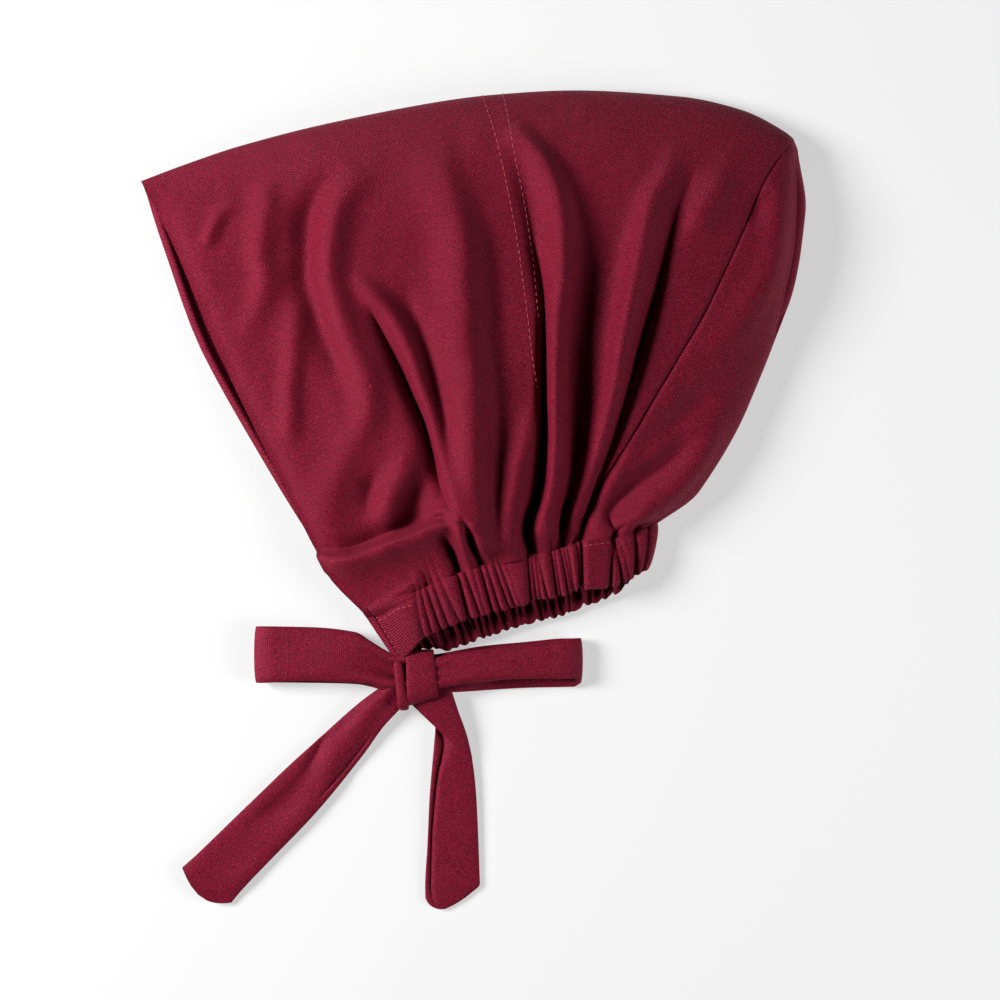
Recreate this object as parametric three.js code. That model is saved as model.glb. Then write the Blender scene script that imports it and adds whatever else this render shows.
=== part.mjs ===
// A tie-back underscarf cap in wine-red jersey, lying flat on its side with its ties in a bow.
// Millimetres, +Z up. The cap rests on z = 0: the lower layer lies on the table, and the upper
// layer is held up by its own folds, so that the inside stays open from the face edge to the neck.
// X runs from the face edge to the back of the crown, Y from the neck to the crown.

import * as THREE from 'three';

// Driving dimensions of the cap
const CAP_LENGTH = 300; // face edge's top corner to the back of the crown
const CAP_HEIGHT = 250; // neck edge to the top of the crown
const CLOTH = 1.5; // the jersey's wall
const LOFT = 27; // upper layer above the table, in the middle of the cap
const FACE_LIFT = 12; // upper layer above the table, at the face edge
const NECK_LIFT = 17; // upper layer above the table, at the neck
const NECK_END_LIFT = 11; // upper layer above the table, at the neck's front end
const FOLD_LEVEL = 5.5; // the crown fold and the back fold above the table
const UPPER_ROLL = 60; // how far the upper layer rounds down to a fold
const LOWER_ROLL = 11; // how far the lower layer rounds up to a fold
const SEAM_GAP = 0.3; // clearance between two pieces that are sewn or tied together

// Driving dimensions of the neck casing and its elastic gathers
const CASING_WIDTH = 20;
const CASING_THICKNESS = 4.4;
const CASING_DROP = 2.2; // how much lower the upper layer's casing hangs at its free edge
const GATHER_PITCH = 4.6;
const GATHER_DEPTH = 1.1;
const CASING_CLEARANCE = 0.4; // between the casing and the panels
const TURN_CLEARANCE = 0.8; // added where the casing turns round the back fold

// Driving dimensions of the ties and of the bow that they are tied in
const TIE_WIDTH = 24;
const TIE_THICKNESS = 2.2;
const KNOT_WIDTH = 19; // along the bow
const KNOT_LENGTH = 26; // across the bow
const KNOT_DEPTH = 12.5; // above the table
const KNOT_LEAN = 0.04; // how far the knot's upper end leans to the face side, as a share of its width
const LOOP_RISE = 10.6; // a loop's upper layer above the table
const LOOP_ROOT = 5.9; // a loop's lower layer above the table, where it leaves the knot
const LOOP_ROLL = 9; // how far a loop's layers round to its end
const FRONT_LOOP = 62.5; // knot to the end of the loop on the face side
const BACK_LOOP = 64.5; // knot to the end of the loop on the back side
const FRONT_TAIL = 121; // knot to the free end of the tail on the face side
const BACK_TAIL = 94; // knot to the free end of the tail on the back side
const FRONT_TAIL_ROUND = 5.7; // how far the corners of its end stay behind the middle

// Where the two seams lie on the way from the face edge (0) to the back fold (1)
const CROWN_SEAM = 0.5;
const BACK_SEAM = 0.85;

// Ribs of the cap, from the face edge to the back fold. Each runs from its foot at the neck to its
// head on the crown fold: x as shares of CAP_LENGTH, y of CAP_HEIGHT. The last four columns say how
// far it bows towards the back at four heights, as shares of its own length.
const RIBS = [
  { at: 0.00, footX: 0.339, footY: 0.077, headX: 0.002, headY: 0.859,
    low: -0.030, mid: -0.028, high: -0.022, top: -0.003 },
  { at: 0.08, footX: 0.358, footY: 0.080, headX: 0.066, headY: 0.888,
    low: -0.021, mid: -0.020, high: -0.014, top: -0.002 },
  { at: 0.16, footX: 0.388, footY: 0.101, headX: 0.150, headY: 0.922,
    low: -0.012, mid: -0.010, high: -0.008, top: -0.002 },
  { at: 0.34, footX: 0.507, footY: 0.162, headX: 0.307, headY: 0.969,
    low: -0.005, mid: -0.021, high: -0.032, top: -0.017 },
  { at: 0.50, footX: 0.613, footY: 0.190, headX: 0.529, headY: 1.014,
    low: 0.006, mid: 0.021, high: 0.025, top: 0.015 },
  { at: 0.60, footX: 0.628, footY: 0.194, headX: 0.652, headY: 1.022,
    low: 0.000, mid: 0.002, high: 0.004, top: 0.004 },
  { at: 0.72, footX: 0.646, footY: 0.201, headX: 0.810, headY: 1.011,
    low: 0.012, mid: 0.010, high: 0.005, top: 0.003 },
  { at: 0.79, footX: 0.656, footY: 0.206, headX: 0.907, headY: 0.985,
    low: -0.004, mid: -0.004, high: -0.002, top: 0.000 },
  { at: 0.85, footX: 0.668, footY: 0.210, headX: 0.979, headY: 0.937,
    low: -0.019, mid: -0.018, high: -0.008, top: 0.000 },
  { at: 0.93, footX: 0.719, footY: 0.218, headX: 0.982, headY: 0.928,
    low: 0.030, mid: 0.045, high: 0.048, top: 0.033 },
  { at: 1.00, footX: 0.771, footY: 0.243, headX: 0.985, headY: 0.918,
    low: 0.074, mid: 0.112, high: 0.117, top: 0.074 },
];
const BOW_HEIGHTS = [0, 0.12, 0.36, 0.62, 0.86, 1];

// How the lower layer differs from the upper one: its neck edge slides out below, and its face edge
// shows beyond the upper one. The same columns and shares as the ribs.
const LOWER_SHIFT = [
  { at: 0.00, footX: 0.000, footY: 0.000, low: 0.010, mid: -0.005, high: -0.020, top: -0.016 },
  { at: 0.08, footX: 0.000, footY: -0.002, low: 0.004, mid: -0.002, high: -0.008, top: -0.006 },
  { at: 0.16, footX: 0.000, footY: -0.004, low: 0.000, mid: 0.000, high: 0.000, top: 0.000 },
  { at: 0.24, footX: 0.000, footY: -0.025, low: 0.000, mid: 0.000, high: 0.000, top: 0.000 },
  { at: 0.34, footX: 0.000, footY: -0.043, low: 0.000, mid: 0.000, high: 0.000, top: 0.000 },
  { at: 0.50, footX: 0.000, footY: -0.031, low: 0.000, mid: 0.000, high: 0.000, top: 0.000 },
  { at: 0.85, footX: 0.000, footY: -0.030, low: 0.000, mid: 0.000, high: 0.000, top: 0.000 },
  { at: 1.00, footX: 0.000, footY: 0.000, low: 0.000, mid: 0.000, high: 0.000, top: 0.000 },
];

// Which way the casing hangs off the neck edge, in degrees from straight down the page towards the
// back, and its width as shares of CASING_WIDTH
const CASING_HANG = [
  { at: 0.00, turn: 34, width: 1.00 },
  { at: 0.08, turn: 30, width: 0.88 },
  { at: 0.16, turn: 28, width: 0.92 },
  { at: 0.34, turn: 20, width: 0.98 },
  { at: 0.50, turn: 12, width: 1.00 },
  { at: 0.85, turn: 4, width: 1.00 },
  { at: 1.00, turn: -12, width: 1.00 },
];

// Main folds of each layer. A fold runs from its foot to its head (both on the 0 to 1 way round the
// cap) between two heights on the ribs; rise and spread are shares of LOFT and of that way round.
const UPPER_FOLDS = [
  { foot: 0.10, head: 0.20, from: 0.35, reach: 0.95, rise: 0.07, spread: 0.035 },
  { foot: 0.20, head: 0.27, from: 0.10, reach: 0.92, rise: 0.13, spread: 0.030 },
  { foot: 0.27, head: 0.34, from: 0.02, reach: 0.75, rise: 0.10, spread: 0.022 },
  { foot: 0.33, head: 0.37, from: 0.00, reach: 0.78, rise: -0.26, spread: 0.020 },
  { foot: 0.38, head: 0.42, from: 0.00, reach: 0.95, rise: 0.20, spread: 0.030 },
  { foot: 0.45, head: 0.47, from: 0.00, reach: 0.85, rise: -0.09, spread: 0.020 },
  { foot: 0.50, head: 0.53, from: 0.00, reach: 0.90, rise: -0.16, spread: 0.016 },
  { foot: 0.54, head: 0.57, from: 0.00, reach: 0.97, rise: 0.18, spread: 0.022 },
  { foot: 0.62, head: 0.63, from: 0.00, reach: 0.86, rise: -0.20, spread: 0.032 },
  { foot: 0.69, head: 0.70, from: 0.00, reach: 0.90, rise: 0.17, spread: 0.020 },
  { foot: 0.74, head: 0.74, from: 0.00, reach: 0.80, rise: -0.17, spread: 0.020 },
  { foot: 0.79, head: 0.78, from: 0.10, reach: 0.88, rise: 0.08, spread: 0.020 },
  { foot: 0.89, head: 0.90, from: 0.00, reach: 0.70, rise: -0.10, spread: 0.018 },
  { foot: 0.94, head: 0.94, from: 0.05, reach: 0.92, rise: 0.09, spread: 0.022 },
];
const LOWER_FOLDS = [
  { foot: 0.22, head: 0.26, from: 0.00, reach: 0.22, rise: 0.07, spread: 0.025 },
  { foot: 0.36, head: 0.38, from: 0.00, reach: 0.26, rise: 0.09, spread: 0.025 },
  { foot: 0.48, head: 0.50, from: 0.00, reach: 0.24, rise: 0.08, spread: 0.022 },
  { foot: 0.60, head: 0.62, from: 0.00, reach: 0.28, rise: 0.09, spread: 0.025 },
  { foot: 0.74, head: 0.74, from: 0.00, reach: 0.24, rise: 0.08, spread: 0.022 },
];
const FOLD_FADE = 16; // folds die out within this distance of the crown and back folds, in millimetres

// Small gathers where the cloth meets the casing
const NECK_GATHERS = 40; // gathers on the way from the face edge to the back fold
const NECK_GATHER_RISE = 1.0; // millimetres
const NECK_GATHER_REACH = 0.16; // height on the ribs at which they have died out
const PLAIN_END = 0.14; // stretch behind the face edge that has no gathers

// Loops of the bow: their sides at shares of their length from the knot, as shares of TIE_WIDTH above
// the knot's middle. The lower layer shows below the upper one.
const FRONT_LOOP_SIDES = [
  { at: 0.00, side: 0.33, low: -0.18, under: -0.26 },
  { at: 0.09, side: 0.45, low: -0.15, under: -0.24 },
  { at: 0.18, side: 0.71, low: -0.10, under: -0.18 },
  { at: 0.27, side: 0.84, low: -0.09, under: -0.14 },
  { at: 0.60, side: 0.93, low: -0.06, under: -0.12 },
  { at: 1.00, side: 0.95, low: -0.11, under: -0.11 },
];
const BACK_LOOP_SIDES = [
  { at: 0.00, side: 0.40, low: -0.20, under: -0.30 },
  { at: 0.30, side: 0.54, low: -0.07, under: -0.26 },
  { at: 0.65, side: 0.63, low: -0.02, under: -0.19 },
  { at: 1.00, side: 0.73, low: -0.08, under: -0.08 },
];

// Tails of the bow: their middle line from the knot's middle, in millimetres as shares of their own
// length, their width as shares of TIE_WIDTH, and how far their sides curl up, in degrees
const FRONT_TAIL_LINE = [
  { at: 0.00, x: -0.095, y: -0.077, width: 0.54, curl: 20 },
  { at: 0.10, x: -0.171, y: -0.145, width: 0.64, curl: 25 },
  { at: 0.24, x: -0.265, y: -0.248, width: 0.80, curl: 15 },
  { at: 0.54, x: -0.469, y: -0.463, width: 1.00, curl: 8 },
  { at: 0.79, x: -0.643, y: -0.637, width: 1.04, curl: 4 },
  { at: 0.93, x: -0.758, y: -0.753, width: 1.07, curl: 0 },
  { at: 1.00, x: -0.815, y: -0.812, width: 1.12, curl: 0 },
];
const BACK_TAIL_LINE = [
  { at: 0.00, x: 0.096, y: -0.092, width: 0.60, curl: 10 },
  { at: 0.05, x: 0.124, y: -0.136, width: 0.62, curl: 25 },
  { at: 0.12, x: 0.162, y: -0.205, width: 0.84, curl: 130 },
  { at: 0.18, x: 0.192, y: -0.261, width: 0.92, curl: 140 },
  { at: 0.31, x: 0.190, y: -0.390, width: 0.98, curl: 100 },
  { at: 0.45, x: 0.180, y: -0.534, width: 1.00, curl: 50 },
  { at: 0.64, x: 0.170, y: -0.720, width: 1.00, curl: 15 },
  { at: 0.83, x: 0.170, y: -0.912, width: 1.00, curl: 3 },
  { at: 0.94, x: 0.167, y: -1.050, width: 0.98, curl: 0 },
  { at: 1.00, x: 0.158, y: -1.117, width: 0.56, curl: 0 },
];

// The knot's middle: beside the free corner of the casing's front end
const END_TURN = THREE.MathUtils.degToRad(CASING_HANG[0].turn);
const KNOT_X = RIBS[0].footX * CAP_LENGTH + Math.sin(END_TURN) * CASING_WIDTH + 0.6 * KNOT_WIDTH;
const KNOT_Y = RIBS[0].footY * CAP_HEIGHT - Math.cos(END_TURN) * CASING_WIDTH - 0.415 * KNOT_LENGTH;

// The knot's section across the bow, as shares of KNOT_WIDTH and KNOT_DEPTH: a narrow turn of the tie
// on the face side, a crease, and the broad turn that covers the rest. The last two columns say how
// far each line ends short of the knot's upper and lower edges, as shares of KNOT_LENGTH.
const KNOT_SECTION = [
  { x: -0.50, z: 0.34, short: 0.10, stop: 0.02 }, { x: -0.46, z: 0.62, short: 0.10, stop: 0.02 },
  { x: -0.36, z: 0.72, short: 0.09, stop: 0.00 }, { x: -0.28, z: 0.58, short: 0.06, stop: 0.00 },
  { x: -0.20, z: 0.86, short: 0.01, stop: 0.00 }, { x: -0.04, z: 0.97, short: 0.00, stop: 0.03 },
  { x: 0.10, z: 0.93, short: 0.00, stop: 0.08 }, { x: 0.24, z: 1.00, short: 0.00, stop: 0.13 },
  { x: 0.42, z: 0.86, short: 0.00, stop: 0.19 }, { x: 0.50, z: 0.52, short: 0.01, stop: 0.21 },
  { x: 0.44, z: 0.14, short: 0.01, stop: 0.20 }, { x: 0.20, z: 0.03, short: 0.00, stop: 0.12 },
  { x: -0.20, z: 0.03, short: 0.02, stop: 0.02 }, { x: -0.44, z: 0.12, short: 0.10, stop: 0.02 },
];

// Mesh steps
const FRONT_COLUMNS = 20;
const CROWN_COLUMNS = 17;
const BACK_COLUMNS = 16;
const ROWS = 16; // from the neck to the crown fold
const TIP_REACH = 0.6; // how far the back panel fills the last row, up to the crown's back tip
const LOOP_STEPS = 16;
const TAIL_STEPS = 15;
const STRAP_STEPS = 6; // across a tie
const KNOT_STEPS = 9;
const FOLD_CROWDING = 1.7; // crowds the rows towards a fold, where the cloth turns fastest

const clamp01 = (x) => Math.min(1, Math.max(0, x));
const smooth = (x) => clamp01(x) ** 2 * (3 - 2 * clamp01(x));
const mix = (a, b, t) => a + (b - a) * t;
const roundedRise = (distance, width) => Math.sqrt(1 - (1 - clamp01(distance / width)) ** 2);

// A smooth curve through a table's values that never overshoots them
function through(stations, values, at) {
  const last = stations.length - 1;
  const slopes = stations.slice(1).map((s, i) => (values[i + 1] - values[i]) / (s - stations[i]));
  const tangent = (i) => {
    if (i === 0) return slopes[0];
    if (i === last) return slopes[last - 1];
    const [before, after] = [slopes[i - 1], slopes[i]];
    return before * after > 0 ? (2 * before * after) / (before + after) : 0;
  };
  const x = Math.min(stations[last], Math.max(stations[0], at));
  const i = Math.min(last - 1, Math.max(0, stations.findIndex((s) => s > x) - 1));
  const k = x >= stations[last] ? last - 1 : i;
  const step = stations[k + 1] - stations[k];
  const t = (x - stations[k]) / step;
  const hermite = [(1 + 2 * t) * (1 - t) ** 2, t * (1 - t) ** 2, t * t * (3 - 2 * t), t * t * (t - 1)];
  return hermite[0] * values[k] + hermite[1] * step * tangent(k)
    + hermite[2] * values[k + 1] + hermite[3] * step * tangent(k + 1);
}

const column = (rows, name, at) => through(rows.map((r) => r.at), rows.map((r) => r[name]), at);

// One rib seen from above: its foot, its head and its bows
function rib(at, upper) {
  const read = (name) => column(RIBS, name, at) + (upper ? 0 : column(LOWER_SHIFT, name, at));
  return {
    foot: new THREE.Vector2(read('footX') * CAP_LENGTH, read('footY') * CAP_HEIGHT),
    head: new THREE.Vector2(column(RIBS, 'headX', at) * CAP_LENGTH, column(RIBS, 'headY', at) * CAP_HEIGHT),
    bows: [0, read('low'), read('mid'), read('high'), read('top'), 0],
  };
}

function plan(at, height, upper) {
  const { foot, head, bows } = rib(at, upper);
  const along = head.clone().sub(foot);
  const bow = through(BOW_HEIGHTS, bows, height);
  return new THREE.Vector2(
    foot.x + along.x * height + along.y * bow,
    foot.y + along.y * height - along.x * bow,
  );
}

// Distance to the nearer of the crown fold and the back fold, with a rounded corner between them
function distanceToFold(at, height) {
  const here = plan(at, height, true);
  const toCrown = (1 - height) * rib(at, true).head.distanceTo(rib(at, true).foot);
  const toBack = here.distanceTo(plan(1, height, true));
  const cornering = 3;
  const sum = (toCrown ** cornering + toBack ** cornering) ** (1 / cornering);
  return sum > 0 ? (toCrown * toBack) / sum : 0;
}

function upperLevel(at, height) {
  const body = FACE_LIFT + (LOFT - FACE_LIFT) * Math.sin((Math.PI / 2) * clamp01(at / 0.4));
  return mix(mix(NECK_END_LIFT, NECK_LIFT, smooth(at / 0.3)), body, smooth(height / 0.4));
}

function lowerLevel(height) {
  const casingLevel = CASING_THICKNESS / 2 + GATHER_DEPTH;
  return mix(casingLevel, CLOTH / 2, smooth(height / 0.08));
}

// The middle of the cloth before its folds are added
function basePoint(at, height, upper) {
  const { x, y } = plan(at, height, upper);
  const distance = distanceToFold(at, height);
  const z = upper
    ? mix(FOLD_LEVEL, upperLevel(at, height), roundedRise(distance, UPPER_ROLL))
    : mix(FOLD_LEVEL, lowerLevel(height), roundedRise(distance, LOWER_ROLL));
  return new THREE.Vector3(x, y, z);
}

// How far the folds and gathers push the cloth up, in millimetres
function foldRise(at, height, upper) {
  let rise = 0;
  for (const fold of upper ? UPPER_FOLDS : LOWER_FOLDS) {
    const along = (height - fold.from) / (fold.reach - fold.from);
    const line = mix(fold.foot, fold.head, height);
    const swell = Math.sin(Math.PI * clamp01(along) ** 0.7) ** 1.2;
    rise += LOFT * fold.rise * swell * Math.exp(-(((at - line) / fold.spread) ** 2));
  }
  const gathering = smooth((at - PLAIN_END) / 0.06) * (1 - smooth(height / NECK_GATHER_REACH));
  rise += NECK_GATHER_RISE * gathering * Math.cos(2 * Math.PI * NECK_GATHERS * at) * (upper ? 1 : 0.6);
  if (!upper) rise = Math.max(0, rise);
  return rise * smooth(distanceToFold(at, height) / FOLD_FADE);
}

// A closed solid between an outer and an inner grid of points, with a rim along its four edges
function shellGeometry(outer, inner) {
  const rows = outer.length;
  const columns = outer[0].length;
  const positions = [...outer.flat(), ...inner.flat()].flatMap((p) => [p.x, p.y, p.z]);
  const out = (i, j) => i * columns + j;
  const inn = (i, j) => rows * columns + i * columns + j;
  const index = [];
  const quad = (a, b, c, d) => index.push(a, b, c, a, c, d);
  for (let i = 0; i < rows - 1; i++) {
    for (let j = 0; j < columns - 1; j++) {
      quad(out(i, j), out(i + 1, j), out(i + 1, j + 1), out(i, j + 1));
      quad(inn(i, j), inn(i, j + 1), inn(i + 1, j + 1), inn(i + 1, j));
    }
    quad(out(i + 1, 0), out(i, 0), inn(i, 0), inn(i + 1, 0));
    quad(out(i, columns - 1), out(i + 1, columns - 1), inn(i + 1, columns - 1), inn(i, columns - 1));
  }
  for (let j = 0; j < columns - 1; j++) {
    quad(out(0, j), out(0, j + 1), inn(0, j + 1), inn(0, j));
    quad(out(rows - 1, j + 1), out(rows - 1, j), inn(rows - 1, j), inn(rows - 1, j + 1));
  }
  return facingOut(positions, index);
}

// A closed solid swept through rings of points, with a flat cap on each end
function sweptGeometry(rings) {
  const around = rings[0].length;
  const positions = rings.flat().flatMap((p) => [p.x, p.y, p.z]);
  const index = [];
  for (let i = 0; i < rings.length - 1; i++) {
    for (let k = 0; k < around; k++) {
      const [a, b] = [i * around + k, i * around + ((k + 1) % around)];
      index.push(a, b, b + around, a, b + around, a + around);
    }
  }
  const lastRing = (rings.length - 1) * around;
  for (let k = 1; k < around - 1; k++) {
    index.push(0, k + 1, k);
    index.push(lastRing, lastRing + k, lastRing + k + 1);
  }
  return facingOut(positions, index);
}

// Turns every face round if the solid came out inside out
function facingOut(positions, index) {
  const corner = (k) => new THREE.Vector3().fromArray(positions, 3 * index[k]);
  let volume = 0;
  for (let k = 0; k < index.length; k += 3) {
    volume += corner(k).dot(corner(k + 1).cross(corner(k + 2)));
  }
  if (volume < 0) {
    for (let k = 0; k < index.length; k += 3) [index[k + 1], index[k + 2]] = [index[k + 2], index[k + 1]];
  }
  const geometry = new THREE.BufferGeometry();
  geometry.setAttribute('position', new THREE.Float32BufferAttribute(positions, 3));
  geometry.setIndex(index);
  geometry.computeVertexNormals();
  return geometry;
}

// A sheet of cloth: middleAt(a, b) is its middle before folding, riseAt(a, b) its folds, and
// trim(a, b, point) cuts it back where it is sewn to the next one
function sheetGeometry(as, bs, thickness, middleAt, riseAt = () => 0, trim = (a, b, point) => point) {
  const step = 1e-3;
  const normalAt = (a, b) => {
    const alongA = middleAt(a + step, b).sub(middleAt(a - step, b));
    const alongB = middleAt(a, b + step).sub(middleAt(a, b - step));
    return alongA.cross(alongB).normalize();
  };
  const layer = (side) => as.map((a) => bs.map((b) => {
    const normal = normalAt(a, b);
    return trim(a, b, middleAt(a, b)).addScaledVector(normal, riseAt(a, b) + (side * thickness) / 2);
  }));
  return shellGeometry(layer(1), layer(-1));
}

// Moves a seam's edge back into its own panel by half of the gap
function trimmed(point, inward) {
  return point.addScaledVector(inward.setZ(0).normalize(), SEAM_GAP / 2);
}

const evenly = (from, to, steps) => Array.from({ length: steps + 1 }, (_, i) => mix(from, to, i / steps));
const crowded = (t) => 1 - (1 - t) ** FOLD_CROWDING;

// A panel that runs from the upper neck edge over the crown fold to the lower neck edge. Its second
// coordinate is 0 at the upper neck edge, 1 on the crown fold and 2 at the lower neck edge.
function wrappedPanel(fromAt, toAt, columns, seamBefore, seamAfter) {
  const place = (w) => ({ height: crowded(Math.max(0, w <= 1 ? w : 2 - w)), upper: w <= 1 });
  const middleAt = (at, w) => {
    const { height, upper } = place(w);
    return basePoint(at, height, upper);
  };
  const riseAt = (at, w) => {
    const { height, upper } = place(w);
    return foldRise(at, height, upper) * (upper ? 1 : -1);
  };
  const trim = (at, w, point) => {
    const back = middleAt(Math.min(1, at + 0.01), w).sub(middleAt(Math.max(0, at - 0.01), w));
    if (seamBefore && at === fromAt) return trimmed(point, back);
    if (seamAfter && at === toAt) return trimmed(point, back.negate());
    return point;
  };
  return sheetGeometry(evenly(fromAt, toAt, columns), evenly(0, 2, 2 * ROWS), CLOTH, middleAt, riseAt, trim);
}

// The back panel runs across the back fold. Its first coordinate is -1 at the upper back seam, 0 on
// the back fold and 1 at the lower back seam.
function backPanel() {
  const atOf = (q) => 1 - (1 - BACK_SEAM) * Math.abs(q) ** FOLD_CROWDING;
  const lastRow = 1 - 1 / ROWS;
  const surface = (q, w) => basePoint(atOf(q), crowded(Math.max(0, w)), q <= 0);
  const middleAt = (q, w) => (w <= lastRow
    ? surface(q, w)
    : surface(q, lastRow).lerp(surface(q, 1), (w - lastRow) * ROWS));
  const riseAt = (q, w) => foldRise(atOf(q), crowded(w), q <= 0) * (q <= 0 ? 1 : -1);
  const trim = (q, w, point) => {
    if (Math.abs(q) < 1) return point;
    return trimmed(point, middleAt(q * 0.97, w).sub(point));
  };
  const heights = [...evenly(0, lastRow, ROWS - 1), mix(lastRow, 1, TIP_REACH)];
  return sheetGeometry(evenly(-1, 1, BACK_COLUMNS), heights, CLOTH, middleAt, riseAt, trim);
}

// A flat oval section of eight points, as shares of its width and thickness
const OVAL = [
  [0.50, 0.18], [0.43, 0.50], [-0.43, 0.50], [-0.50, 0.18],
  [-0.50, -0.18], [-0.43, -0.50], [0.43, -0.50], [0.50, -0.18],
];

function ovalRing(centre, across, up, width, thickness) {
  return OVAL.map(([a, b]) => centre.clone()
    .addScaledVector(across, a * width)
    .addScaledVector(up, b * thickness));
}

// The casing runs along the upper neck edge to the back, and back along the lower one. Its stations
// lie on ridges and valleys of the gathers in turn.
function casingGeometry() {
  const neck = (s) => {
    const upper = s <= 1;
    const at = crowdedBack(upper ? s : 2 - s);
    const point = basePoint(at, 0, upper);
    const turn = THREE.MathUtils.degToRad(column(CASING_HANG, 'turn', at));
    const hang = new THREE.Vector3(Math.sin(turn), -Math.cos(turn), 0);
    if (upper) hang.z = -(CASING_DROP / CASING_WIDTH) * roundedRise(distanceToFold(at, 0), UPPER_ROLL);
    return { at, upper, point, hang: hang.normalize() };
  };
  const fine = evenly(0, 2, 400).map((s) => neck(s).point);
  const lengths = fine.map((p, i) => (i ? p.distanceTo(fine[i - 1]) : 0));
  const total = lengths.reduce((sum, l) => sum + l, 0);
  const stations = 2 * Math.round(total / GATHER_PITCH);
  const rings = [];
  let passed = 0;
  let next = 0;
  for (let i = 0; i < fine.length; i++) {
    passed += lengths[i];
    if (passed < (next * total) / stations - 1e-6) continue;
    const s = (2 * i) / (fine.length - 1);
    const { at, point, hang } = neck(s);
    const ahead = neck(Math.min(2, s + 0.005)).point.sub(neck(Math.max(0, s - 0.005)).point);
    const up = hang.clone().cross(ahead).normalize();
    if (s <= 1 ? up.z < 0 : up.z > 0) up.negate();
    const plain = 1 - smooth((at - PLAIN_END) / 0.04);
    const ridge = (next % 2 ? 1 : -1) * (1 - plain);
    const thickness = CASING_THICKNESS + ridge * GATHER_DEPTH;
    const span = column(CASING_HANG, 'width', at) * CASING_WIDTH;
    const width = span + ridge * GATHER_DEPTH * 0.5;
    const clearance = CASING_CLEARANCE + TURN_CLEARANCE * smooth((at - 0.85) / 0.12);
    const centre = point.addScaledVector(hang, clearance + span / 2 + GATHER_DEPTH / 4);
    rings.push(ovalRing(centre, hang, up, width, thickness));
    next += 1;
  }
  return sweptGeometry(rings);
}

// Slows the casing's way round near the back, where it turns from the upper to the lower layer
function crowdedBack(s) {
  return s < BACK_SEAM ? s : 1 - (1 - BACK_SEAM) * ((1 - s) / (1 - BACK_SEAM)) ** FOLD_CROWDING;
}

// A loop of the bow. Its first coordinate runs from -1 at the knot in the lower layer, over 0 at the
// loop's end, to 1 at the knot in the upper layer; its second one runs across the tie.
function loopGeometry(sides, length, toward) {
  const middleAt = (s, t) => {
    const at = 1 - Math.min(1, Math.abs(s)) ** FOLD_CROWDING;
    const low = column(sides, s < 0 ? 'under' : 'low', at);
    const y = mix(low, column(sides, 'side', at), (t + 1) / 2) * TIE_WIDTH;
    const x = KNOT_WIDTH / 2 + SEAM_GAP + at * length - 1.5 * t * t * smooth(at);
    const lean = -KNOT_LEAN * KNOT_WIDTH * ((2 * y) / KNOT_LENGTH) * (1 - at);
    const pinch = 0.9 * Math.cos(3 * Math.PI * t) * (1 - smooth(at / 0.35));
    const under = mix(LOOP_ROOT, TIE_THICKNESS / 2 + 0.1, smooth((at - 0.12) / 0.3)) + pinch * 0.4;
    const layer = s < 0 ? under : LOOP_RISE - 1.6 * at + pinch;
    const z = mix(LOOP_RISE * 0.43, layer, roundedRise((1 - at) * length, LOOP_ROLL));
    return new THREE.Vector3(KNOT_X + toward * x + lean, KNOT_Y + y, z);
  };
  const alongs = evenly(-1, 1, LOOP_STEPS);
  return sheetGeometry(alongs, evenly(-1, 1, STRAP_STEPS), TIE_THICKNESS, middleAt);
}

// A tail of the bow: a strap along a line, with one side curled up where it leaves the knot. Its end
// is rounded: endRound is how far the corners stay behind the middle.
function tailGeometry(line, length, curledSide, endRound = 0) {
  const lineAt = (at) => new THREE.Vector3(
    KNOT_X + column(line, 'x', at) * length,
    KNOT_Y + column(line, 'y', at) * length,
    TIE_THICKNESS / 2 + 0.6 * (1 - smooth(at / 0.25)),
  );
  const middleAt = (at, t) => {
    const s = clamp01(at);
    const forward = lineAt(Math.min(1, s + 0.01)).sub(lineAt(Math.max(0, s - 0.01))).setZ(0).normalize();
    const across = new THREE.Vector3(-forward.y, forward.x, 0).multiplyScalar(curledSide);
    const width = column(line, 'width', s) * TIE_WIDTH;
    const curl = Math.max(1e-3, THREE.MathUtils.degToRad(column(line, 'curl', s)));
    const flat = 0.1;
    const rolled = Math.max(0, t - flat) / (1 - flat);
    const radius = ((1 - flat) * width) / 2 / curl;
    const offset = Math.min(t, flat) * (width / 2) + radius * Math.sin(curl * rolled);
    const lift = radius * (1 - Math.cos(curl * rolled));
    const back = endRound * t * t * smooth((s - 0.85) / 0.15);
    return lineAt(s).addScaledVector(across, offset).addScaledVector(forward, -back).setZ(lineAt(s).z + lift);
  };
  return sheetGeometry(evenly(0, 1, TAIL_STEPS), evenly(-1, 1, STRAP_STEPS), TIE_THICKNESS, middleAt);
}

function knotGeometry() {
  const rings = evenly(-1, 1, KNOT_STEPS).map((t) => {
    const shrink = mix(0.62, 1, roundedRise(1 - Math.abs(t), 0.6));
    const lean = -KNOT_LEAN * KNOT_WIDTH * t;
    return KNOT_SECTION.map(({ x, z, short, stop }) => new THREE.Vector3(
      KNOT_X + lean + x * KNOT_WIDTH * mix(0.94, 1, shrink),
      KNOT_Y + t * KNOT_LENGTH * (0.5 - (t > 0 ? short : stop)),
      mix(0.42, z, shrink) * KNOT_DEPTH,
    ));
  });
  return sweptGeometry(rings);
}

const jersey = (name, geometry, colour, roughness) => {
  const material = new THREE.MeshStandardMaterial({ color: colour, roughness, metalness: 0 });
  const mesh = new THREE.Mesh(geometry, material);
  mesh.name = name;
  return mesh;
};

const WINE = 0x6e1a2a;

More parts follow.
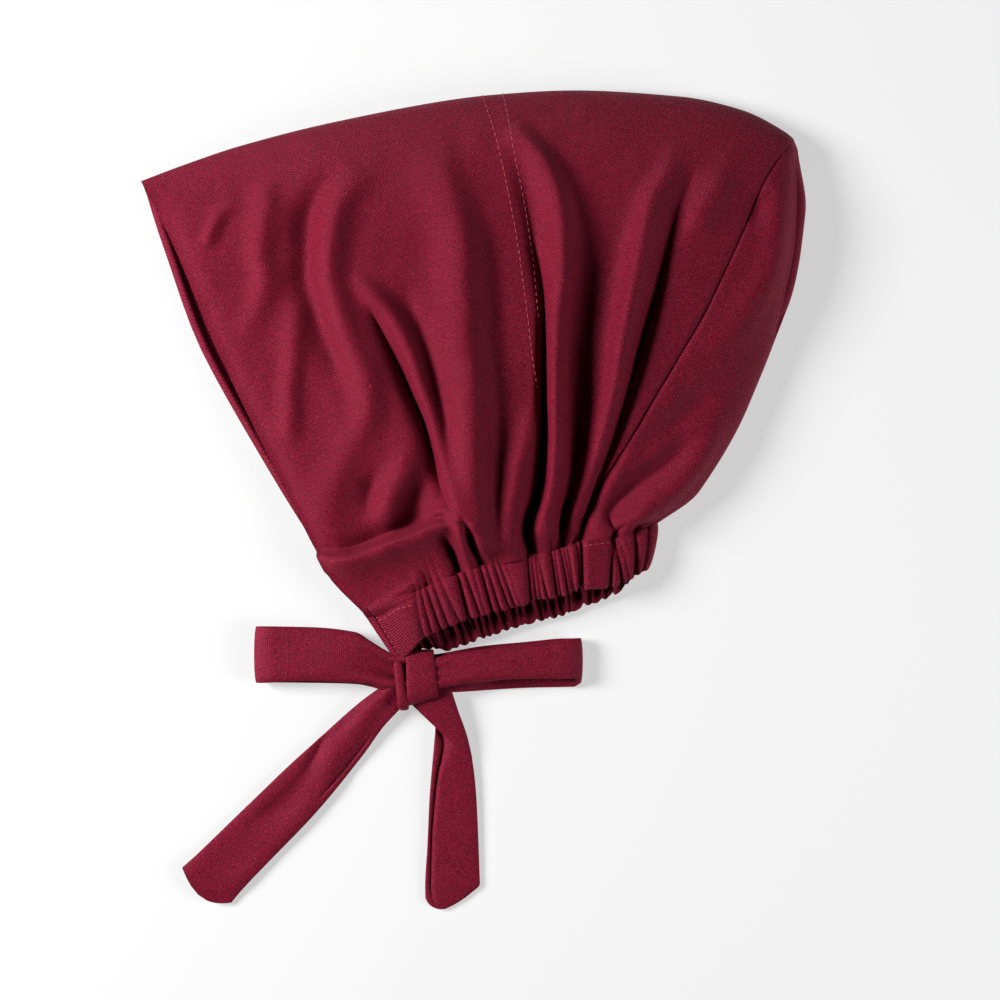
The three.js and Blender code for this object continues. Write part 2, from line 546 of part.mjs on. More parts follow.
const cap = new THREE.Group();
cap.add(jersey('front_panel', wrappedPanel(0, CROWN_SEAM, FRONT_COLUMNS, false, true), WINE, 0.9));
cap.add(jersey('crown_panel', wrappedPanel(CROWN_SEAM, BACK_SEAM, CROWN_COLUMNS, true, true), WINE, 0.9));
cap.add(jersey('back_panel', backPanel(), WINE, 0.9));
cap.add(jersey('neck_casing', casingGeometry(), WINE, 0.9));
cap.add(jersey('tie_knot', knotGeometry(), WINE, 0.9));
cap.add(jersey('bow_loop_front', loopGeometry(FRONT_LOOP_SIDES, FRONT_LOOP, -1), WINE, 0.9));
cap.add(jersey('bow_loop_back', loopGeometry(BACK_LOOP_SIDES, BACK_LOOP, 1), WINE, 0.9));
cap.add(jersey('tie_tail_front', tailGeometry(FRONT_TAIL_LINE, FRONT_TAIL, 1, FRONT_TAIL_ROUND), WINE, 0.9));
cap.add(jersey('tie_tail_back', tailGeometry(BACK_TAIL_LINE, BACK_TAIL, 1), WINE, 0.9));

// The part's origin is the middle of its footprint, on the table
const box = new THREE.Box3().setFromObject(cap, true);
const middle = box.getCenter(new THREE.Vector3());
cap.position.set(-middle.x, -middle.y, -box.min.z);

export default cap;
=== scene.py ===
"""Looks for a wine-red jersey underscarf cap that lies flat on its side, its ties in a bow.

Lengths are millimetres in the drawing's own axes (x from the face edge to the back of the crown,
y from the neck to the crown, z up from the table) until a mesh is made.
"""

import math

import bpy
import numpy as np
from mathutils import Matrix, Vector


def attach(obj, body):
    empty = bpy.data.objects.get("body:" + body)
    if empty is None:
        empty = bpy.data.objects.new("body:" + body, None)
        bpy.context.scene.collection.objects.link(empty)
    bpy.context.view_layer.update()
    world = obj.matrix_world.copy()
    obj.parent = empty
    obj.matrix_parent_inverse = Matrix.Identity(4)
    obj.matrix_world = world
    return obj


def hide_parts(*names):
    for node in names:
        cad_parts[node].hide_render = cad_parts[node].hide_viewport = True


# Sizes of the cap, as in the part's source. WALL is its wall and CLOTH the thinner one shown here
CAP_LENGTH = 300.0
CAP_HEIGHT = 250.0
LOFT = 27.0
FACE_LIFT = 12.0
NECK_LIFT = 17.0
NECK_END_LIFT = 11.0
FOLD_LEVEL = 5.5
UPPER_ROLL = 60.0
LOWER_ROLL = 11.0
WALL = 1.5
CLOTH = 1.0
CROWN_SEAM = 0.5
BACK_SEAM = 0.85
CASING_WIDTH = 20.0
CASING_THICKNESS = 4.4
CASING_DROP = 2.2
GATHER_DEPTH = 1.1
HEM_END = 3.9
HEM_STRIP = 3.0
HEM_REACH = 24.0
FOLD_CROWDING = 1.7
TIE_WIDTH = 24.0
TIE_THICKNESS = 2.2
KNOT_WIDTH = 19.0
KNOT_LENGTH = 26.0
KNOT_LEAN = 0.04
LOOP_RISE = 10.6
LOOP_ROOT = 5.9
LOOP_ROLL = 9.0
FRONT_LOOP = 62.5
BACK_LOOP = 64.5
FRONT_TAIL = 121.0
FRONT_TAIL_ROUND = 5.7
SEAM_GAP = 0.3
# Where the frame's own origin is in the drawing, and millimetres in a metre
ORIGIN = np.array([150.055, 71.071, 0.0])
PER_METRE = 1000

# Ribs of the cap: at, foot x and y, head x and y, and four bows
RIBS = np.array([
    [0.00, 0.339, 0.077, 0.002, 0.859, -0.030, -0.028, -0.022, -0.003],
    [0.08, 0.358, 0.080, 0.066, 0.888, -0.021, -0.020, -0.014, -0.002],
    [0.16, 0.388, 0.101, 0.150, 0.922, -0.012, -0.010, -0.008, -0.002],
    [0.34, 0.507, 0.162, 0.307, 0.969, -0.005, -0.021, -0.032, -0.017],
    [0.50, 0.613, 0.190, 0.529, 1.014, 0.006, 0.021, 0.025, 0.015],
    [0.60, 0.628, 0.194, 0.652, 1.022, 0.000, 0.002, 0.004, 0.004],
    [0.72, 0.646, 0.201, 0.810, 1.011, 0.012, 0.010, 0.005, 0.003],
    [0.79, 0.656, 0.206, 0.907, 0.985, -0.004, -0.004, -0.002, 0.000],
    [0.85, 0.668, 0.210, 0.979, 0.937, -0.019, -0.018, -0.008, 0.000],
    [0.93, 0.719, 0.218, 0.982, 0.928, 0.030, 0.045, 0.048, 0.033],
    [1.00, 0.771, 0.243, 0.985, 0.918, 0.074, 0.112, 0.117, 0.074],
])
BOW_HEIGHTS = np.array([0, 0.12, 0.36, 0.62, 0.86, 1])

# How the lower layer differs: at, foot y, and four bows
LOWER_SHIFT = np.array([
    [0.00, 0, 0.010, -0.013, -0.029, -0.020],
    [0.08, -0.002, 0.004, -0.002, -0.008, -0.006],
    [0.16, -0.004, 0, 0, 0, 0],
    [0.24, -0.025, 0, 0, 0, 0],
    [0.34, -0.043, 0, 0, 0, 0],
    [0.50, -0.031, 0, 0, 0, 0],
    [0.85, -0.030, 0, 0, 0, 0],
    [1.00, 0, 0, 0, 0, 0],
])

# The casing: at, degrees from straight down, and width
CASING_HANG = np.array([
    [0.00, 34, 1.00],
    [0.08, 30, 0.88],
    [0.16, 28, 0.92],
    [0.34, 20, 0.98],
    [0.50, 12, 1.00],
    [0.85, 4, 1.00],
    [1.00, -12, 1.00],
])

# Loops of the bow: at, upper side, lower side of the upper layer, lower side of the lower layer
FRONT_LOOP_SIDES = np.array([
    [0.00, 0.42, -0.18, -0.26],
    [0.09, 0.56, -0.15, -0.24],
    [0.18, 0.71, -0.10, -0.18],
    [0.27, 0.84, -0.09, -0.14],
    [0.60, 0.93, -0.06, -0.12],
    [1.00, 0.95, -0.11, -0.11],
])
BACK_LOOP_SIDES = np.array([
    [0.00, 0.40, -0.20, -0.30],
    [0.30, 0.54, -0.07, -0.26],
    [0.65, 0.63, -0.01, -0.21],
    [0.96, 0.72, -0.02, -0.19],
    [1.00, 0.73, -0.10, -0.12],
])

# Tails of the bow: at, x, y, width, curl in degrees
FRONT_TAIL_LINE = np.array([
    [0.00, -0.095, -0.077, 0.54, 20],
    [0.10, -0.171, -0.145, 0.64, 25],
    [0.24, -0.265, -0.248, 0.80, 15],
    [0.54, -0.469, -0.463, 1.00, 8],
    [0.79, -0.643, -0.637, 1.04, 4],
    [0.93, -0.758, -0.753, 1.07, 0],
    [1.00, -0.815, -0.812, 1.12, 0],
])

# Folds of the upper layer: how far each one spreads to its left and right when looking along it, how
# sharp it is (0 round, 1 creased), and its line, as x, y and how far the cloth stands up there
FOLDS = [
    (3.2, 3.2, 0, [(41, 203, 0.5), (36, 198, 1.3), (32.5, 190.5, 1.5), (30.5, 185.5, 0.4)]),
    (6, 6, 0, [(56, 217, 0.2), (57.5, 205.5, 2.2), (56.5, 192, 2.8), (55.5, 181.5, 2.6),
     (57.5, 171, 2.6), (55.5, 160.5, 2.2), (48.5, 145.5, 0.4)]),
    (4.5, 5.5, 0, [(71.5, 162, 0.2), (70.5, 142.5, 1.8), (70, 132, 2.2), (69, 121.5, 2.2),
     (69, 106.5, 2), (68, 96.5, 0.3)]),
    (7, 6, 0, [(92, 221.5, 0.2), (81, 208.5, -2), (75.5, 193.5, -3.2), (75, 174, -3),
     (81, 151.5, -2.6), (87, 136.5, -2.4), (93, 123.5, -0.6)]),
    (6, 8, 0, [(104.5, 217, 0.3), (91.5, 204, 3), (88, 189, 4), (87, 175.5, 4.2), (90, 160.5, 4),
     (96, 142.5, 3.6), (103.5, 126, 3.4), (105, 114, 3), (102.5, 106, 2.2), (95.5, 94.5, 1.5),
     (88, 76.5, 1.6), (85.5, 58.5, 0.3)]),
    (6, 6, 0, [(124.5, 99, 0.5), (118.5, 84, 2.4), (112.5, 69, 2.8), (111.5, 58.5, 1)]),
    (5, 5, 0, [(107, 85.5, -0.3), (104.5, 76.5, -1.6), (101.5, 65, -0.4)]),
    (5, 5, 0, [(129, 81, -0.5), (124.5, 70.5, -2), (120.5, 62, -1)]),
    (4.5, 4.5, 0, [(96, 172.5, 0.3), (105, 163.5, 2.6), (115.5, 151.5, 3.4), (123, 136.5, 3.8),
     (127.5, 121.5, 4.2), (132, 106.5, 4.4), (133.5, 97.5, 4), (136.5, 85.5, 3.4),
     (140.5, 73.5, 3), (146.5, 61, 2.4), (154, 50.5, 2)]),
    (5, 3, 0.7, [(103.5, 158.5, -0.3), (108, 148.5, -3.2), (115.5, 132, -6), (121.5, 118.5, -7.5),
     (128, 103.5, -8.5), (132.5, 88.5, -6.5), (137, 74, -3.2), (143, 63, -1.8),
     (147.5, 56.5, -0.5)]),
    (1.8, 2.6, 0.1, [(144, 67, -0.1), (146, 62.5, -1.4), (147.8, 58.5, -4.6), (149.4, 54, -9),
     (150.8, 49.5, -10), (152.5, 45.5, -8), (155.5, 41, -4)]),
    (2.4, 2.4, 0.1, [(136.5, 57, -0.4), (138.5, 52, -3), (140.8, 46.5, -8), (143, 41, -9),
     (146, 35, -5)]),
    (1.8, 1.8, 0, [(142, 65, 0.3), (144, 59, 2.6), (145.8, 53, 3), (148, 46, 2.6), (150, 39.5, 1.6)]),
    (3, 3, 0, [(123.5, 40.5, 0.3), (125.5, 36, 1.5), (127.5, 30.5, 1.5)]),
    (1.6, 1.6, 0.6, [(128, 39.5, -0.3), (131, 35, -1.3), (130.5, 30.5, -1.3)]),
    (2.2, 2.2, 0, [(133, 38, 0.3), (137, 36, 1.2), (142, 33.5, 1.2)]),
    (5, 6.5, 0, [(117, 166.5, -0.3), (120, 160.5, -1.2), (127.5, 142.5, -2.2), (133.5, 124.5, -2.6),
     (138, 106.5, -2.4), (140, 91.5, -1.4), (142, 79, -0.3)]),
    (8, 12, 0, [(133, 229.5, 0.2), (135, 223, 1), (136.5, 217.5, 2), (142, 199.5, 4),
     (145.5, 184.5, 5.4), (146, 166.5, 6), (147, 144, 6), (149.5, 121.5, 6.4), (149.5, 99, 6.6),
     (150, 76.5, 6.6), (154.5, 57, 6), (165.5, 44, 4)]),
    (6, 6, 0, [(153, 211.5, -0.1), (156, 196.5, -0.3), (160.5, 151.5, -0.9), (160, 114, -1.0),
     (159, 76.5, -0.8), (160.5, 58.5, -0.5)]),
    (5, 5, 0, [(176.5, 115, 0.3), (174, 102, 2.4), (169.5, 84, 3.4), (166.5, 61.5, 3.6),
     (169.5, 47, 2.4)]),
    (6, 4, 0, [(169, 229.5, -0.1), (172, 216, -1), (175.5, 200, -1.8), (178, 184.5, -2),
     (180.5, 166.5, -0.8)]),
    (2.3, 2.7, 0.1, [(177, 187, -0.2), (180.5, 171, -2.5), (182, 153, -6), (182, 136.5, -9.5),
     (182, 106.5, -12), (181, 84, -12), (179, 72, -11.5), (175.5, 63, -10), (174, 55.5, -9.5),
     (176, 48, -8.5), (180.5, 42, -5)]),
    (5, 6.5, 0, [(168, 239.5, 0.3), (171, 234, 1.8), (181.5, 220.5, 4.2), (187.5, 205.5, 5.4),
     (190, 189, 5.8), (190, 174, 6), (188, 151.5, 6), (187, 129, 6), (187, 106.5, 6),
     (187.5, 87, 6), (184, 61.5, 5), (187.5, 45, 3)]),
    (10, 10, 0, [(196, 225, -0.1), (205, 207, -0.8), (207, 189, -1.6), (204, 166.5, -2.6),
     (201, 144, -3.6), (199, 121.5, -4.6), (197.5, 99, -5.2), (194.5, 81, -5.6), (191, 66.5, -4.5),
     (190, 56, -3)]),
    (2.2, 2.2, 0.2, [(196, 75, -0.5), (191.5, 65, -5), (189.5, 54, -6.5), (191, 45, -5)]),
    (7, 5, 0, [(242, 231.5, 0.1), (240, 225, 0.9), (236, 216, 2.4), (229.5, 205, 4),
     (224, 181.5, 5.6), (220.5, 163.5, 6), (217, 144, 6.2), (214, 124.5, 6), (210, 106.5, 5.6),
     (204, 84, 5), (198, 67.5, 4.4), (194.5, 54, 3)]),
    (4, 5, 0.5, [(249.5, 221.5, -0.1), (245.5, 211.5, -1.1), (237.5, 189, -3), (231.5, 163.5, -5.6),
     (224.5, 139.5, -7.2), (219, 120, -7.2), (213, 99, -7), (207, 81, -6.5), (201.5, 63, -6.5),
     (197.5, 51.5, -7)]),
    (7, 6, 0, [(262, 220.5, 0.4), (257.5, 209, 2.2), (252, 199.5, 2.4), (247.5, 187, 0.6)]),
    (1.1, 0.9, 1, [(293.5, 233.5, -1.2), (282, 217.5, -1.5), (267, 184.5, -1.7), (252, 153, -1.8),
     (237, 127.5, -1.9), (222, 102, -2.4), (214.5, 88.5, -3), (207, 75, -3.2), (201, 63, -2.5),
     (199, 52, -1.5)]),
    (9, 7, 0, [(289, 216, 0.4), (286.5, 207, 2), (284, 186, 3), (281, 172.5, 3), (273.5, 160, 2.6),
     (263, 144, 1.6), (252, 133, 0.4)]),
    (4, 4, 0, [(280, 209, -0.2), (277, 200, -1.3), (275.5, 192.5, -0.2)]),
    (6, 7, 0, [(255.5, 120.5, -0.4), (252, 116, -1.6), (241.5, 106.5, -2.2), (227, 96, -1.4),
     (220.5, 89, -0.3)]),
    (6, 8, 0, [(262, 110, 0.3), (257.5, 97, 1.8), (247.5, 83, 2.2), (234, 74, 2), (225, 70, 0.8)]),
    (5, 6, 0, [(250, 102.5, -0.4), (245, 96, -2.2), (234, 84.5, -3.2), (223.5, 78, -3.4),
     (215, 69, -3.2), (209.5, 62, -2)]),
    (5, 4, 0, [(232, 68.5, 0.5), (226.5, 66.5, 2.6), (219.5, 63, 3.6), (215.5, 56.5, 3),
     (214.5, 52, 1.5)]),
    (4.5, 4.5, 0, [(200, 59.5, 0.6), (206, 61, 2.8), (209.5, 57.5, 2.8), (210, 52.5, 1.5)]),
    (2, 1.5, 1, [(210, 63, -0.8), (212.5, 58.5, -3.6), (212.5, 52, -3.6)]),
    (2, 1.6, 1, [(225, 63, -0.5), (222.5, 57.5, -3.2), (222.5, 51.5, -3.2)]),
    (2, 9, 0.35, [(78.5, 47, 1), (88, 45.5, 3.4), (96, 46.5, 4.2), (103.5, 49.5, 4.6),
     (111, 52.5, 4.8), (118, 55, 4.6), (124.5, 57.5, 4.6), (135, 61.5, 4.2), (142, 62, 1.6)]),
    (5.5, 2.8, 0.3, [(90, 49.5, -0.4), (99, 50.5, -2), (112.5, 56, -3), (124, 60.5, -3),
     (134, 64.5, -1.8)]),
    (2.6, 3, 0, [(128, 62.5, 0.4), (132.5, 65.5, 2.6), (137.5, 68, 3), (142.5, 64, 1.8),
     (145.5, 58.5, 1)]),
    (1.8, 2.6, 0.4, [(102, 19, 1.2), (108, 24, 1.9), (115, 28.5, 2), (120.5, 32, 1.9), (125, 34, 1)]),
    (1.3, 1.3, 1, [(106, 17.5, -1.4), (111.5, 22.5, -1.6), (118, 26.5, -1.6), (124, 29.5, -1.2)]),
]

# Where the upper layer ends over the lower one, behind the crown, as such folds
BACK_EDGE = [
    (1.2, 3, 0.5, [(294, 232.5, -0.6), (295.5, 222, -2), (296, 207, -2.4), (295.5, 192, -2.4),
     (294, 178.5, -2.4), (291.5, 166.5, -2.4), (288.5, 153, -2.2), (286, 142, -1)]),
    (1.2, 1.2, 0, [(293, 229.5, 0.2), (295, 220.5, 0.7), (295, 207, 0.9), (294.5, 192, 0.9),
     (292.5, 178.5, 0.9), (290, 166.5, 0.8), (287, 153, 0.6), (284.5, 142, 0.2)]),
]

# Gathers of the upper layer: how far along the casing each valley is at the body and at the free edge,
# and its depth. The first 20 mm lie plain, and so does a patch behind the middle.
GATHERS = [
    (26.4, 20, 0.5), (28.9, 24.1, 0.8), (31.7, 28.7, 1), (35.2, 32.8, 0.8),
    (38.6, 38.6, 0.6), (46.5, 43.4, 1.6), (50, 48.8, 1), (53.8, 51.7, 0.5),
    (57.1, 55.1, 1.4), (60.1, 59, 1), (63.3, 63.3, 1), (66, 66.5, 0.9),
    (68.6, 69.2, 0.3), (78.6, 74.5, 1.2), (80.7, 77.4, 1), (82.5, 79.8, 0.8),
    (83.6, 82.9, 0.8), (89.2, 87.5, 1.2), (91.2, 90, 0.7), (93.7, 93.7, 1),
    (95.4, 96.2, 0.7), (97.1, 97.5, 0.8), (101.2, 100, 1), (103.8, 101.8, 1.8),
    (117.7, 116.9, 1.2), (117.9, 123.7, 1.2), (119.9, 127.7, 0.6), (127.8, 132, 1.3),
    (134.5, 136.9, 0.8),
]

SKIN_COLOUR = (0.128, 0.0029, 0.0150, 1.0)
LIT_COLOUR = (0.80, 0.22, 0.32, 1.0)
# Pale pink specks: partly the jersey's own paler fibres, partly painted glints of light on its fuzz
FIBRE_GLINT_COLOUR = (0.62, 0.27, 0.33, 1.0)
GLOSS_COLOUR = (1.0, 0.30, 0.48, 1.0)
THREAD_COLOUR = (0.30, 0.035, 0.06, 1.0)

# How fine the meshes are
FRONT_COLUMNS = 230
CROWN_COLUMNS = 170
BACK_COLUMNS = 60
UPPER_ROWS = 240
LOWER_ROWS = 60
CASING_STEPS = 900
CASING_RING = 84
FOLD_STEPS = 60
TIE_STEPS = 170
TIE_RING = 56
TAIL_RING = 84

random = np.random.default_rng(11)
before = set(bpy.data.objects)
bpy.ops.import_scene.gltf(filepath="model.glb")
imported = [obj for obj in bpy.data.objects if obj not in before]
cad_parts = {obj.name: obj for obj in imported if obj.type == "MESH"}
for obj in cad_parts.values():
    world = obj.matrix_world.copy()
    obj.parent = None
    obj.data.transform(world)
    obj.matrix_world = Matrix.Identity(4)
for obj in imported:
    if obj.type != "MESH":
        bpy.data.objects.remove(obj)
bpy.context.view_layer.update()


def mix(a, b, t):
    return a + (b - a) * t


def clamp01(x):
    return np.clip(x, 0.0, 1.0)


def smooth(x):
    x = clamp01(x)
    return x * x * (3 - 2 * x)


def rounded(distance, width):
    """Rises from 0 to 1 over a width, as a quarter of a circle does."""
    return np.sqrt(1 - (1 - clamp01(distance / width)) ** 2)


def bell(distance, width):
    """A round bump, 1 where the distance is 0."""
    return np.exp(-((distance / width) ** 2))


def unit(vectors):
    return vectors / np.maximum(np.linalg.norm(vectors, axis=-1, keepdims=True), 1e-9)


def length_along(points):
    """How far each point of a row is from the first, along the row."""
    return np.concatenate([[0], np.cumsum(np.linalg.norm(np.diff(points, axis=0), axis=1))])


def at_length(s, run, row):
    """The values of a row at the lengths s along it."""
    return np.stack([np.interp(s, run, row[:, k]) for k in range(3)], -1)


def hermite(t, step, values, tangents, i):
    """The smooth curve from station i to the next, t from 0 to 1 on the way."""
    return (
        (1 + 2 * t) * (1 - t) ** 2 * values[i]
        + t * (1 - t) ** 2 * step * tangents[i]
        + t * t * (3 - 2 * t) * values[i + 1]
        + t * t * (t - 1) * step * tangents[i + 1]
    )


def through(stations, values, at):
    """A smooth curve through the values that never overshoots them."""
    stations, values = np.asarray(stations, float), np.asarray(values, float)
    slopes = np.diff(values) / np.diff(stations)
    tangents = np.zeros(len(values))
    tangents[0], tangents[-1] = slopes[0], slopes[-1]
    product = slopes[:-1] * slopes[1:]
    total = slopes[:-1] + slopes[1:]
    tangents[1:-1] = np.where(product > 0, 2 * product / np.where(total == 0, 1, total), 0)
    x = np.clip(at, stations[0], stations[-1])
    i = np.clip(np.searchsorted(stations, x, side="right") - 1, 0, len(stations) - 2)
    step = stations[i + 1] - stations[i]
    return hermite((x - stations[i]) / step, step, values, tangents, i)


def column(table, k, at):
    return through(table[:, 0], table[:, k], at)


def bow_at(bows, height):
    """Interpolates each point's own four bows over the height, as the part's source does."""
    values = [np.zeros_like(height)] + bows + [np.zeros_like(height)]
    steps = np.diff(BOW_HEIGHTS)
    slopes = [(values[i + 1] - values[i]) / step for i, step in enumerate(steps)]
    tangents = [slopes[0]]
    for a, b in zip(slopes[:-1], slopes[1:]):
        total = np.where(a + b == 0, 1, a + b)
        tangents.append(np.where(a * b > 0, 2 * a * b / total, 0))
    tangents.append(slopes[-1])
    out = np.zeros_like(height)
    for i, step in enumerate(steps):
        t = (height - BOW_HEIGHTS[i]) / step
        inside = (t >= 0) & ((t < 1) | (i == len(steps) - 1))
        out = np.where(inside, hermite(t, step, values, tangents, i), out)
    return out


def plan(at, height, upper):
    """Where a point of a rib lies seen from above. upper is 1 on the upper layer and 0 on the lower."""
    low = 1 - upper
    foot_x = column(RIBS, 1, at) * CAP_LENGTH
    foot_y = (column(RIBS, 2, at) + low * column(LOWER_SHIFT, 1, at)) * CAP_HEIGHT
    along_x = column(RIBS, 3, at) * CAP_LENGTH - foot_x
    along_y = column(RIBS, 4, at) * CAP_HEIGHT - foot_y
    bows = [column(RIBS, 5 + k, at) + low * column(LOWER_SHIFT, 2 + k, at) for k in range(4)]
    bow = bow_at(bows, height)
    x = foot_x + along_x * height + along_y * bow
    y = foot_y + along_y * height - along_x * bow
    return np.stack([x, y], -1)


def distance_to_fold(at, height):
    """A smooth distance from the crown fold and the back outline, 0 on both."""
    one = np.ones_like(at)
    here = plan(at, height, one)
    length = np.hypot(
        (column(RIBS, 3, at) - column(RIBS, 1, at)) * CAP_LENGTH,
        (column(RIBS, 4, at) - column(RIBS, 2, at)) * CAP_HEIGHT,
    )
    to_crown = (1 - height) * length
    to_back = np.linalg.norm(here - plan(one, height, one), axis=-1)
    total = np.cbrt(to_crown**3 + to_back**3)
    return np.where(total > 0, to_crown * to_back / np.where(total > 0, total, 1), 0)


# The front band's rise behind the face edge, in shares of the ribs
RISE_START = 0.02
RISE_REACH = 0.38
RISE_SOFTNESS = 0.6
# How far the neck edge's rise, the body's rise and the lower layer's sink reach
NECK_RISE_REACH = 0.3
BODY_RISE_REACH = 0.4
LOWER_SINK_REACH = 0.08


def base_point(at, height, upper):
    """The middle of the cloth before its folds."""
    xy = plan(at, height, upper)
    distance = distance_to_fold(at, height)
    behind = clamp01((at - RISE_START) / RISE_REACH)
    body = mix(FACE_LIFT, LOFT, mix(np.sin((math.pi / 2) * behind), smooth(behind), RISE_SOFTNESS))
    neck = mix(NECK_END_LIFT, NECK_LIFT, smooth(at / NECK_RISE_REACH))
    up = mix(FOLD_LEVEL, mix(neck, body, smooth(height / BODY_RISE_REACH)), rounded(distance, UPPER_ROLL))
    sink = smooth(height / LOWER_SINK_REACH)
    low_level = mix(CASING_THICKNESS / 2 + GATHER_DEPTH, WALL / 2, sink)
    low = mix(FOLD_LEVEL, low_level, rounded(distance, LOWER_ROLL))
    return np.concatenate([xy, np.where(upper > 0.5, up, low)[..., None]], -1)


def smooth_line(points):
    """A curve through a few points of a fold, with its rise."""
    p = np.asarray(points, float)
    chord = length_along(p[:, :2])
    s = np.linspace(0, chord[-1], FOLD_STEPS)
    return np.stack([through(chord, p[:, k], s) for k in range(3)], -1)


NOISE_PERIOD = 64


def value_noise(x, y, seed):
    """Smooth noise between -1 and 1, one wave per unit."""
    table = np.random.default_rng(seed).uniform(-1, 1, (NOISE_PERIOD, NOISE_PERIOD))
    xi, yi = np.floor(x).astype(int), np.floor(y).astype(int)
    fx, fy = smooth(x - xi), smooth(y - yi)
    x0, x1 = xi % NOISE_PERIOD, (xi + 1) % NOISE_PERIOD
    y0, y1 = yi % NOISE_PERIOD, (yi + 1) % NOISE_PERIOD
    return mix(mix(table[x0, y0], table[x1, y0], fx), mix(table[x0, y1], table[x1, y1], fx), fy)


def fold_profile(q, crease):
    """The height across a fold, q times its spread away from its line."""
    sharp = np.exp(-1.6 * (np.sqrt(q**2 + 0.012) - 0.11))
    return mix(np.exp(-(q**2)), sharp, crease)


FOLD_REACH = 3.0


def fold_rise(x, y, table):
    """How far the folds of a table lift the cloth at a place on the plan."""
    flat = np.stack([x.ravel(), y.ravel()], -1)
    rise = np.zeros(len(flat))
    for left, right, crease, points in table:
        line = smooth_line(points)
        reach = FOLD_REACH * max(left, right)
        inside = (flat > line[:, :2].min(0) - reach) & (flat < line[:, :2].max(0) + reach)
        near = np.flatnonzero(inside.all(axis=1))
        place = flat[near]
        best = np.full(len(near), np.inf)
        side, height = np.zeros(len(near)), np.zeros(len(near))
        for start, end in zip(line[:-1], line[1:]):
            step = end[:2] - start[:2]
            d = place - start[:2]
            on = clamp01((d @ step) / (step @ step))
            away = d - on[:, None] * step
            far = np.hypot(away[:, 0], away[:, 1])
            closer = far < best
            best = np.where(closer, far, best)
            side = np.where(closer, step[0] * d[:, 1] - step[1] * d[:, 0], side)
            height = np.where(closer, mix(start[2], end[2], on), height)
        rise[near] += height * fold_profile(best / np.where(side > 0, left, right), crease)
    return rise.reshape(x.shape)


def casing_line():
    """The neck edge from the upper front end, round the back, to the lower front end."""
    s = np.linspace(0, 2, CASING_STEPS)
    way = np.where(s <= 1, s, 2 - s)
    share = clamp01((1 - way) / (1 - BACK_SEAM))
    at = np.where(way < BACK_SEAM, way, 1 - (1 - BACK_SEAM) * share**FOLD_CROWDING)
    upper = (s <= 1).astype(float)
    point = base_point(at, np.zeros_like(at), upper)
    return at, upper, point, length_along(point)


CASING_AT, CASING_UPPER, CASING_POINT, CASING_RUN = casing_line()
CASING_HALF = CASING_STEPS // 2
NEAR_LENGTH = np.interp(1, CASING_AT[:CASING_HALF], CASING_RUN[:CASING_HALF])

# Gathers of the lower layer, which shows little: where they start, how many, and how far apart
FAR_COUNT = 44
FAR_SPACING = (2.4, 4.4)
FAR_PLACES = NEAR_LENGTH + 1.5 + np.cumsum(random.uniform(*FAR_SPACING, FAR_COUNT))
FAR_GATHERS = [(p, p + random.uniform(-2, 2), random.uniform(0.5, 1.4)) for p in FAR_PLACES]
VALLEYS = np.array(GATHERS + FAR_GATHERS)
DEEP_VALLEY = 1.6


def gathers_at(place, share, breadth=1.0):
    """How deep the gathers are, at a place along the casing and a share of the way to its free edge."""
    depth = np.zeros(np.broadcast(place, share).shape)
    for top, edge, size in VALLEYS:
        width = breadth * mix(0.95, 1.25, min(size, DEEP_VALLEY) / DEEP_VALLEY)
        away = np.abs(place - mix(top, edge, share)) / width
        depth += size * np.exp(-(away**1.5))
    return depth


def place_of(at, upper):
    """How far along the casing's line a point of the body's neck edge is."""
    near = np.interp(at, CASING_AT[:CASING_HALF], CASING_RUN[:CASING_HALF])
    far = np.interp(at, CASING_AT[: CASING_HALF - 1 : -1], CASING_RUN[: CASING_HALF - 1 : -1])
    return np.where(upper > 0.5, near, far)


RIB_LENGTH = 200
# How strongly the folds stand out, high up and near the neck
FOLD_STRENGTH = (1.45, 1.74)
STRENGTH_TOP = 150
STRENGTH_RANGE = 110
FOLD_FADE = 14
# Puckers of the upper layer: breadth, length, seed and height
PUCKERS = [(26, 34, 3, 0.8), (8, 13, 4, 0.26)]
# The casing's gathers run on into the body
GATHER_PULL = 2.4
GATHER_RUN_OUT = 8
GATHER_BREADTH = 1.25
GATHER_STRAY = 1.2
# The face edge dips, and the edge of the layer under it is rolled
FACE_STEP = 0.06
FACE_DIP = 2.4
FACE_ROLL = 2.8
FACE_ROLL_PLACE = 2.6
# Low waves of the lower layer near the neck
UNDER_WAVE = 1.4


